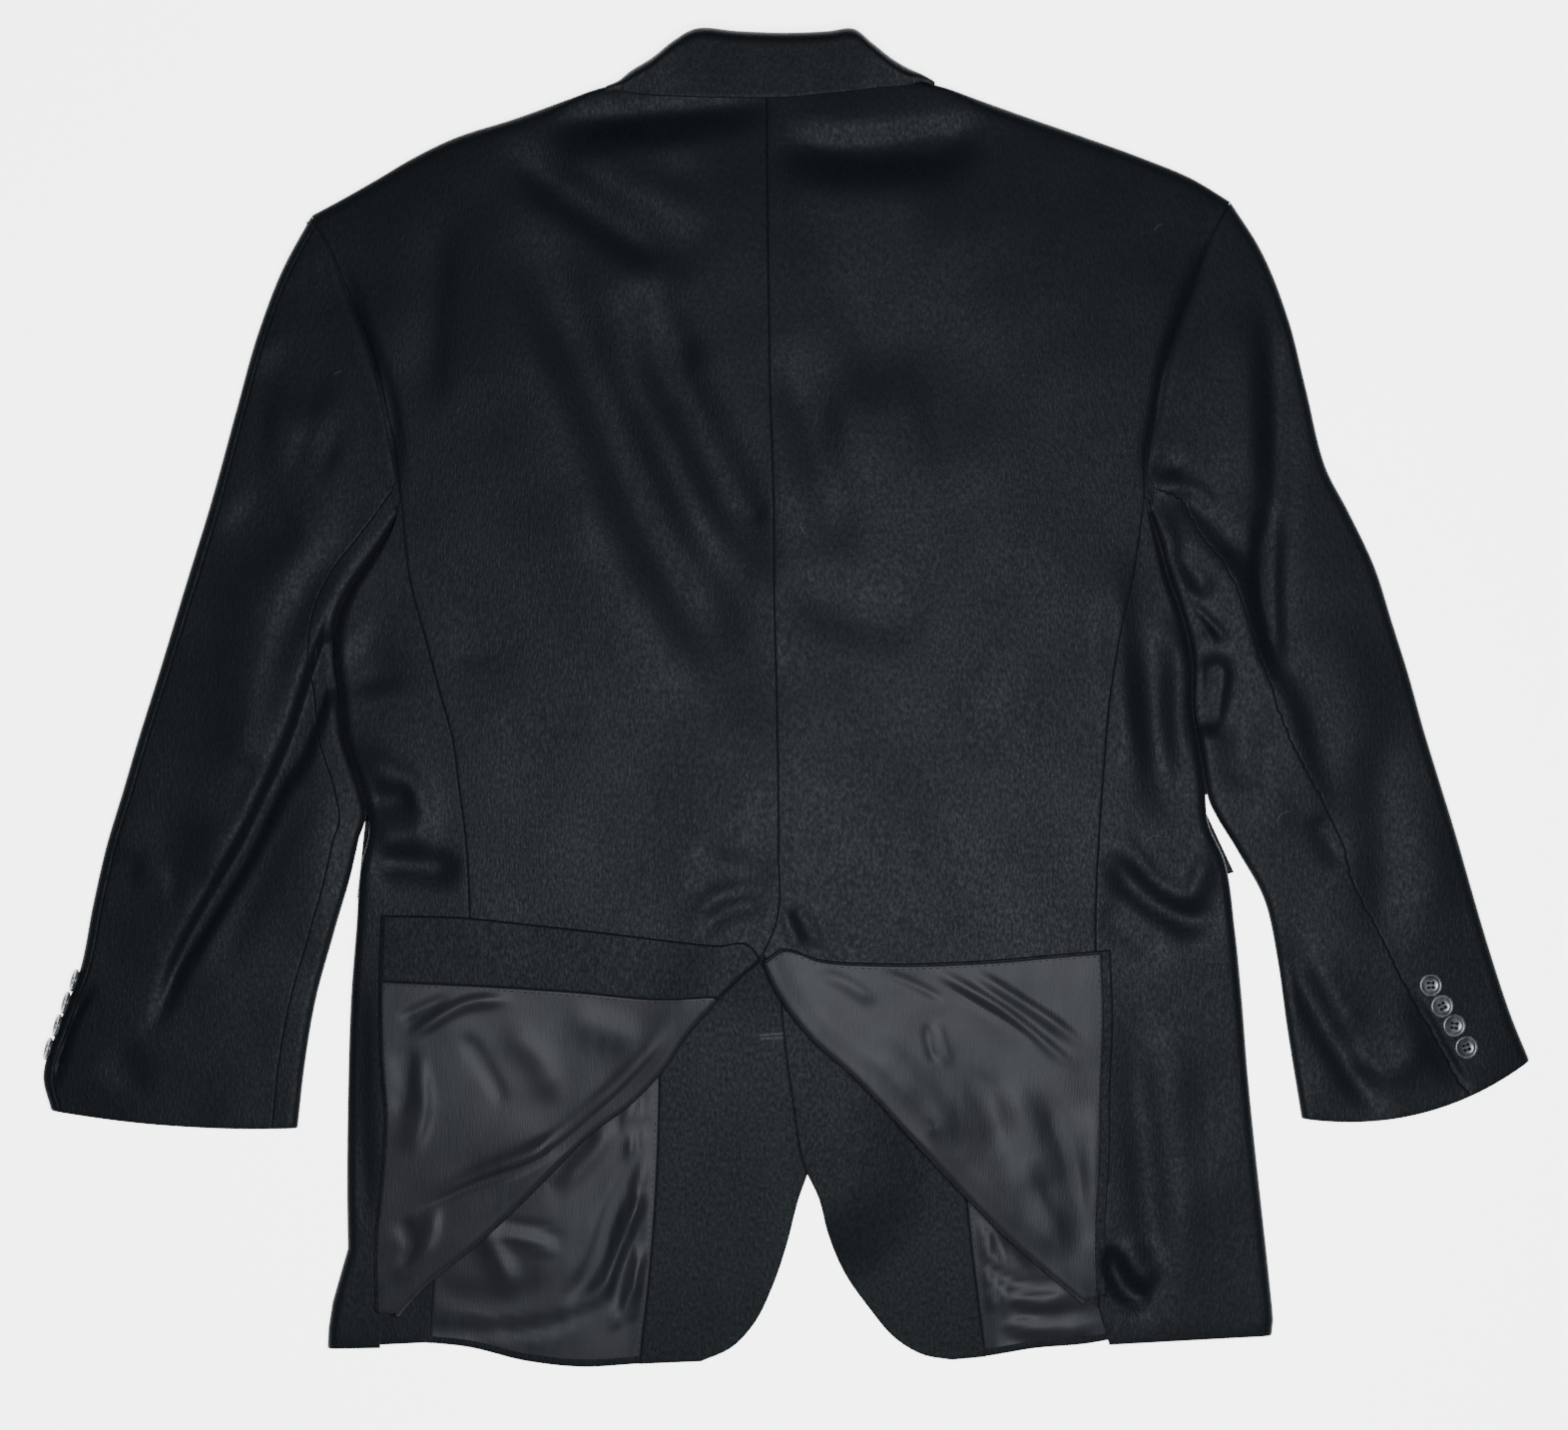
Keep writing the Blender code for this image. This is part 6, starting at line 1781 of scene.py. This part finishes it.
# what repeats is grown with Geometry Nodes and then kept as plain meshes: an empty node group with
# the given number inputs and a material input
def growthTree(name, numbers):
    tree = bpy.data.node_groups.new(name, "GeometryNodeTree")
    tree.interface.new_socket("Geometry", in_out="INPUT", socket_type="NodeSocketGeometry")
    for label, value in numbers.items():
        kind = "NodeSocketInt" if isinstance(value, int) else "NodeSocketFloat"
        tree.interface.new_socket(label, in_out="INPUT", socket_type=kind).default_value = value
    tree.interface.new_socket("Material", in_out="INPUT", socket_type="NodeSocketMaterial")
    tree.interface.new_socket("Geometry", in_out="OUTPUT", socket_type="NodeSocketGeometry")
    add = partial(addNode, tree)
    return tree, add, add("NodeGroupInput").outputs


def endTree(add, instances, material):
    real = add("GeometryNodeRealizeInstances", i0=instances)
    faced = add("GeometryNodeSetMaterial", Geometry=real, Material=material)
    add("NodeGroupOutput", i0=faced)


# pick stitches that hold the satin's edges
stitching = {
    "length": 1.5,
    "thickness": 0.42,
    "spacing": 4.2,
    "uneven": 0.25,
    "lift": 0.3,  # share of the thickness that stands off the cloth
    "seed": 4,
    # which piece, which edge of it, how many lines in
    "edges": {
        "flap_lining_left": (("top", 1), ("last", 1)),
        "flap_lining_right": (("top", 1), ("last", 1)),
        "front_lining_left": (("first", 1),),
        "front_lining_right": (("first", 1),),
    },
}

# the worked buttonhole in the left front's facing
buttonhole = {
    "place": (-8.0, -209.5),
    "length": 15.0,
    "turn": 4.0,
    "slit": 0.8,
    "stitch": 0.8,
    "spacing": 0.5,
    "thickness": 0.28,
    "lift": 0.2,
    "uneven": 0.1,
    "seed": 2,
}


# short bars along a line, uneven in length and direction
def stitchTree():
    tree, add, given = growthTree("Hand Stitches", {
        "Stitch Length": 0.0015, "Thickness": 0.0004, "Spacing": 0.004,
        "Unevenness": 0.2, "Seed": 4,
    })
    line = add("GeometryNodeMeshToCurve", i0=given["Geometry"])
    spaced = add(
        "GeometryNodeResampleCurve", {"mode": "LENGTH"}, Curve=line, Length=given["Spacing"]
    )
    half = add("ShaderNodeMath", {"operation": "MULTIPLY"}, i0=given["Thickness"], i1=0.5)
    bar = add("GeometryNodeMeshCylinder", Vertices=6, Radius=half, Depth=given["Stitch Length"])
    along = add("GeometryNodeInputTangent")
    low = add("ShaderNodeMath", {"operation": "MULTIPLY"}, i0=given["Unevenness"], i1=-1.0)
    sway = add(
        "FunctionNodeRandomValue", {"data_type": "FLOAT_VECTOR"}, Min=low, Max=given["Unevenness"],
        Seed=given["Seed"],
    )
    way = add("ShaderNodeVectorMath", {"operation": "ADD"}, i0=along, i1=sway)
    turned = add("FunctionNodeAlignRotationToVector", {"axis": "Z"}, Vector=way)
    size = add("FunctionNodeRandomValue", Min=0.75, Max=1.15, Seed=given["Seed"])
    placed = add(
        "GeometryNodeInstanceOnPoints", Points=spaced, Instance=bar, Rotation=turned,
        Scale=size.outputs[1],
    )
    endTree(add, placed, given["Material"])
    return tree


# the short nap that stands up from the wool
napFibres = {
    "perSquareMetre": 5200.0,
    "length": 2.4,
    "thickness": 0.07,
    "lift": 0.3,
    "leastUpward": 0.45,
    "seed": 30,
    "pieces": ("back", "side", "top", "under", "collar", "facing", "vent"),
}


# thin bent fibres lying over a surface in all directions
def fibreTree():
    tree, add, given = growthTree("Nap Fibres", {
        "Per Square Metre": 4000.0, "Fibre Length": 0.003, "Thickness": 0.00007, "Lift": 0.3,
        "Least Upward": 0.4, "Seed": 9,
    })
    normal = add("GeometryNodeInputNormal")
    upward = add("ShaderNodeSeparateXYZ", Vector=normal).outputs["Z"]
    shown = add(
        "FunctionNodeCompare", {"data_type": "FLOAT", "operation": "GREATER_THAN"}, i0=upward,
        i1=given["Least Upward"],
    )
    spread = add(
        "GeometryNodeDistributePointsOnFaces", Mesh=given["Geometry"], Selection=shown,
        Density=given["Per Square Metre"], Seed=given["Seed"],
    )
    end = add("ShaderNodeCombineXYZ", X=given["Fibre Length"])
    rise = add(
        "ShaderNodeMath", {"operation": "MULTIPLY"}, i0=given["Fibre Length"], i1=given["Lift"]
    )
    middle = add("ShaderNodeCombineXYZ", X=rise, Y=rise, Z=rise)
    bow = add(
        "GeometryNodeCurveQuadraticBezier", Resolution=3, Start=(0.0, 0.0, 0.0), Middle=middle,
        End=end,
    )
    half = add("ShaderNodeMath", {"operation": "MULTIPLY"}, i0=given["Thickness"], i1=0.5)
    ring = add("GeometryNodeCurvePrimitiveCircle", Resolution=3, Radius=half)
    fibre = add("GeometryNodeCurveToMesh", Curve=bow, i1=ring)
    spin = add(
        "FunctionNodeRandomValue", {"data_type": "FLOAT_VECTOR"}, Min=(-0.1, -0.1, 0.0),
        Max=(0.1, 0.1, 6.283), Seed=given["Seed"],
    )
    turned = add(
        "FunctionNodeRotateRotation", {"rotation_space": "LOCAL"}, i0=spread.outputs["Rotation"],
        i1=spin,
    )
    size = add("FunctionNodeRandomValue", Min=0.4, Max=1.3, Seed=given["Seed"])
    placed = add(
        "GeometryNodeInstanceOnPoints", Points=spread.outputs["Points"], Instance=fibre,
        Rotation=turned, Scale=size.outputs[1],
    )
    endTree(add, placed, given["Material"])
    return tree


# runs a node group on a mesh and keeps the result as a plain mesh piece
def grown(name, mesh, tree, values, material):
    piece = bpy.data.objects.new(name, mesh)
    bpy.context.scene.collection.objects.link(piece)
    growth = piece.modifiers.new("growth", "NODES")
    growth.node_group = tree
    for item in tree.interface.items_tree:
        if item.in_out == "INPUT" and item.name in values:
            growth[item.identifier] = values[item.name]
        elif item.in_out == "INPUT" and item.name == "Material":
            growth[item.identifier] = material
    graph = bpy.context.evaluated_depsgraph_get()
    plain = bpy.data.meshes.new_from_object(piece.evaluated_get(graph))
    piece.modifiers.remove(growth)
    piece.data = plain
    return piece


def lineMesh(name, lines):
    points, edges = [], []
    for line in lines:
        edges += [(len(points) + step, len(points) + step + 1) for step in range(len(line) - 1)]
        points += ((np.array(line, float) + shift) * mm).tolist()
    mesh = bpy.data.meshes.new(name)
    mesh.from_pydata(points, edges, [])
    return mesh


woolFace = woolCloth()
facingFace = woolCloth("Milled Black Wool, Facing", wool["faceColour"], wool["faceGloss"])
satinFace = satinMaterial()
hornFace = hornMaterial()
threadFace = threadMaterial()

for side in ("left", "right"):
    backPanel(side, woolFace)
for side in ("left", "right"):
    sidePanel(side, woolFace)
print("back and sides made")

facingPart = slice(0, fronts["facingColumns"])
liningPart = slice(fronts["facingColumns"] - 1, -1)
frontFaces = {}
for side, under in (("left", underHeight), ("right", overlapHeight)):
    plan, *shoulder = frontGrid(side)
    frontPanel(side, plan, *shoulder, under, woolFace)
    name, start = "facing_" + side, fronts["facingStart"]
    insideLayer(name, plan, facingPart, start, None, under, facingFace)
    name, start, folds = "front_lining_" + side, fronts["liningStart"], satin[side + "InsideFolds"]
    insideLayer(name, plan, liningPart, start, -1, under, satinFace, folds)
    frontFaces[side] = surfacePoints(raised(plan, under))
print("fronts made")

for name, outline in plates["outlines"].items():
    plate(name, outline, woolFace)
collarPiece("collar", woolFace)
print("lapels, pocket flaps and collar made")

left, tuck = sleeveShape("left", insetShare)
backSeam = sleeves["leftColumns"][0]
sleevePiece("under_sleeve_left", left, 0, backSeam, woolFace, covers=("last",))
sleevePiece("top_sleeve_left", left, backSeam, left[0].shape[1], woolFace, extra=(tuck,))
right, tuck = sleeveShape("right", pathShare(sleeves["rightBackSeam"]))
backSeam = sleeves["rightColumns"][0]
frontSeam = sum(sleeves["rightColumns"]) + sides["edgeSteps"] + 1
closed = {"covers": ("first",), "extra": (tuck,)}
sleevePiece("under_sleeve_right", right, backSeam, frontSeam, woolFace, **closed)
sleevePiece("top_sleeve_right", right, frontSeam, right[0].shape[1] + backSeam, woolFace)
print("sleeves made")

for side in ("left", "right"):
    ventFlap(side, facingFace, satinFace)
print("vent flaps made")

size = buttons["cuff"]
cuff = surfacePoints(right[0][:, : sum(sleeves["rightColumns"]) + 1])
for number, place in enumerate(buttons["rightPlaces"], 1):
    middle, axis = facingUp(cuff, place, size)
    middle = seated(cuff, middle, axis, size)
    turn = buttons["turns"][number - 1]
    button(f"cuff_button_right_{number}", middle, axis, size, turn, hornFace, threadFace)
cuff = surfacePoints(np.concatenate([left[0], left[0][:, :1]], axis=1))
axis = unit(np.array(buttons["leftAxis"]))
for number, place in enumerate(buttons["leftPlaces"], 1):
    middle = seated(cuff, np.array([*place, buttons["leftHeight"]]), axis, size)
    turn = buttons["turns"][-number]
    button(f"cuff_button_left_{number}", middle, axis, size, turn, hornFace, threadFace)
size = buttons["front"]
down = np.array([0.0, 0.0, -1.0])
for number, (side, x, y) in enumerate(buttons["frontPlaces"], 1):
    middle = seated(frontFaces[side], np.array([x, y, fronts["lift"]]), down, size)
    turn = buttons["frontTurn"] * number
    button(f"front_button_{number}", middle, down, size, turn, hornFace, threadFace)
print("buttons made")

stitches = stitchTree()
fibres = fibreTree()
onPiece = {name: [] for name in made}
for name, edges in stitching["edges"].items():
    lift = (0, 0, stitching["thickness"] * stitching["lift"])
    lines = [edgeFirst(outerFaces[name], edge)[inset] + lift for edge, inset in edges]
    label = name.replace("_", "-") + "-stitches"
    onPiece[name].append(grown(label, lineMesh("stitches", lines), stitches, {
        "Stitch Length": stitching["length"] * mm,
        "Thickness": stitching["thickness"] * mm,
        "Spacing": stitching["spacing"] * mm,
        "Unevenness": stitching["uneven"],
        "Seed": stitching["seed"],
    }, threadFace))

# the buttonhole's stitches, each across one edge of its slit
turn = math.radians(buttonhole["turn"])
along = np.array([math.cos(turn), math.sin(turn)])
across = np.array([-along[1], along[0]])
half, slit = buttonhole["length"] / 2, buttonhole["slit"]
lift = walls["wool"] + walls["layerGap"] + walls["lining"] + buttonhole["lift"]
lines = []
for step in np.arange(-half, half, buttonhole["spacing"]):
    for side in (-1, 1):
        middle = np.array(buttonhole["place"]) + along * step
        ends = [middle + across * side * reach for reach in (slit, slit + buttonhole["stitch"])]
        lines.append(np.column_stack([ends, underHeight(np.array(ends)) + lift]))
twist = threadMaterial("Grey Buttonhole Twist", threadLook["buttonhole"])
slitLines = lineMesh("buttonhole", lines)
onPiece["facing_left"].append(grown("buttonhole-stitches", slitLines, stitches, {
    "Stitch Length": buttonhole["stitch"] * mm,
    "Thickness": buttonhole["thickness"] * mm,
    "Spacing": buttonhole["stitch"] * 2 * mm,
    "Unevenness": buttonhole["uneven"],
    "Seed": buttonhole["seed"],
}, twist))

# loose fibres, laid on whatever is below them
lintFace = lintMaterial()
byObject = {piece.name: name for name, piece in made.items()}
graph = bpy.context.evaluated_depsgraph_get()
for number, (x, y, length, bend, turn) in enumerate(lint["places"], 1):
    turn = math.radians(turn)
    path = []
    for share in np.linspace(-1, 1, lint["steps"]):
        along, across = share * length / 2, (1 - share**2) * bend
        place = (
            (x + along * math.cos(turn) - across * math.sin(turn)) * mm,
            (y + along * math.sin(turn) + across * math.cos(turn)) * mm,
            0.1,
        )
        _, hit, _, _, below, _ = bpy.context.scene.ray_cast(graph, place, (0.0, 0.0, -1.0))
        path.append(np.array(hit) / mm - shift + (0, 0, lint["thickness"]))
    corners, groups = rod(path, lint["thickness"] / 2, lint["sides"])
    faces = [face.tolist() for group in groups for face in group]
    piece = plainObject(f"lint_{number}", (corners + shift) * mm, faces)
    piece.data.materials.append(lintFace)
    piece.data.shade_smooth()
    onPiece[byObject[below.name]].append(piece)

napped = [name for name in made if name.startswith(napFibres["pieces"])]
for number, name in enumerate(napped):
    label = name.replace("_", "-") + "-nap"
    onPiece[name].append(grown(label, made[name].data.copy(), fibres, {
        "Per Square Metre": napFibres["perSquareMetre"],
        "Fibre Length": napFibres["length"] * mm,
        "Thickness": napFibres["thickness"] * mm,
        "Lift": napFibres["lift"],
        "Least Upward": napFibres["leastUpward"],
        "Seed": napFibres["seed"] + number,
    }, threadFace))
print("stitches and fibres grown")

for name, piece in made.items():
    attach(piece, "root")
    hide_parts(name)
    for small in onPiece[name]:
        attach(small, "root")
    if name in cutSizes:
        width, length, area = cutSizes[name]
        area = min(area, width * length)

floor = {
    "size": 6.0,
    "height": -0.0006,
    "colour": "#f4f4f4",
    "roughness": 0.9,
    "gloss": 0.1,
    "glow": 4.5,
}


# an opal table lit from below, as under clothes that are photographed on white
def makeFloor():
    half = floor["size"] / 2
    corners = [(-half, -half), (half, -half), (half, half), (-half, half)]
    piece = plainObject("floor", [(x, y, floor["height"]) for x, y in corners], [(0, 1, 2, 3)])
    material, add, _ = startedMaterial("Opal Light Table", ())
    endMaterial(add, add("ShaderNodeBsdfPrincipled", **{
        "Base Color": webColour(floor["colour"]),
        "Roughness": floor["roughness"],
        "Specular IOR Level": floor["gloss"],
        "Emission Color": webColour(floor["colour"]),
        "Emission Strength": floor["glow"],
    }))
    piece.data.materials.append(material)


# the studio's light from above: place, target, size in metres, watts
lights = {
    "overhead disc": ((0.08, -0.16, 1.35), (0.08, -0.16, 0.0), 0.5, 31.0),
}
lightColour = "#f6fcff"


def makeLight(name, place, target, size, power):
    light = bpy.data.lights.new(name, "AREA")
    light.shape, light.size, light.energy = "DISK", size, power
    light.color = webColour(lightColour)[:3]
    lamp = bpy.data.objects.new(name, light)
    lamp.location = place
    lamp.rotation_euler = (Vector(target) - Vector(place)).to_track_quat("-Z", "Y").to_euler()
    bpy.context.scene.collection.objects.link(lamp)


camera = {"height": 3.0, "middle": (-0.83, -10.2), "width": 974.0, "sensor": 36.0}


def makeCamera():
    data = bpy.data.cameras.new("camera")
    viewer = bpy.data.objects.new("camera", data)
    x, y = camera["middle"]
    viewer.location = (x * mm, y * mm, camera["height"])
    data.sensor_fit = "HORIZONTAL"
    data.sensor_width = camera["sensor"]
    data.lens = camera["sensor"] * camera["height"] / (camera["width"] * mm)
    bpy.context.scene.collection.objects.link(viewer)
    bpy.context.scene.camera = viewer


makeFloor()
for name, (place, target, size, power) in lights.items():
    makeLight(name, place, target, size, power)
sky = {"colour": "#f0f6ff", "strength": 0.17}
world = bpy.data.worlds.new("studio")
world.use_nodes = True
backdrop = world.node_tree.nodes["Background"]
backdrop.inputs["Color"].default_value = webColour(sky["colour"])
backdrop.inputs["Strength"].default_value = sky["strength"]
bpy.context.scene.world = world
makeCamera()
print("stage made")
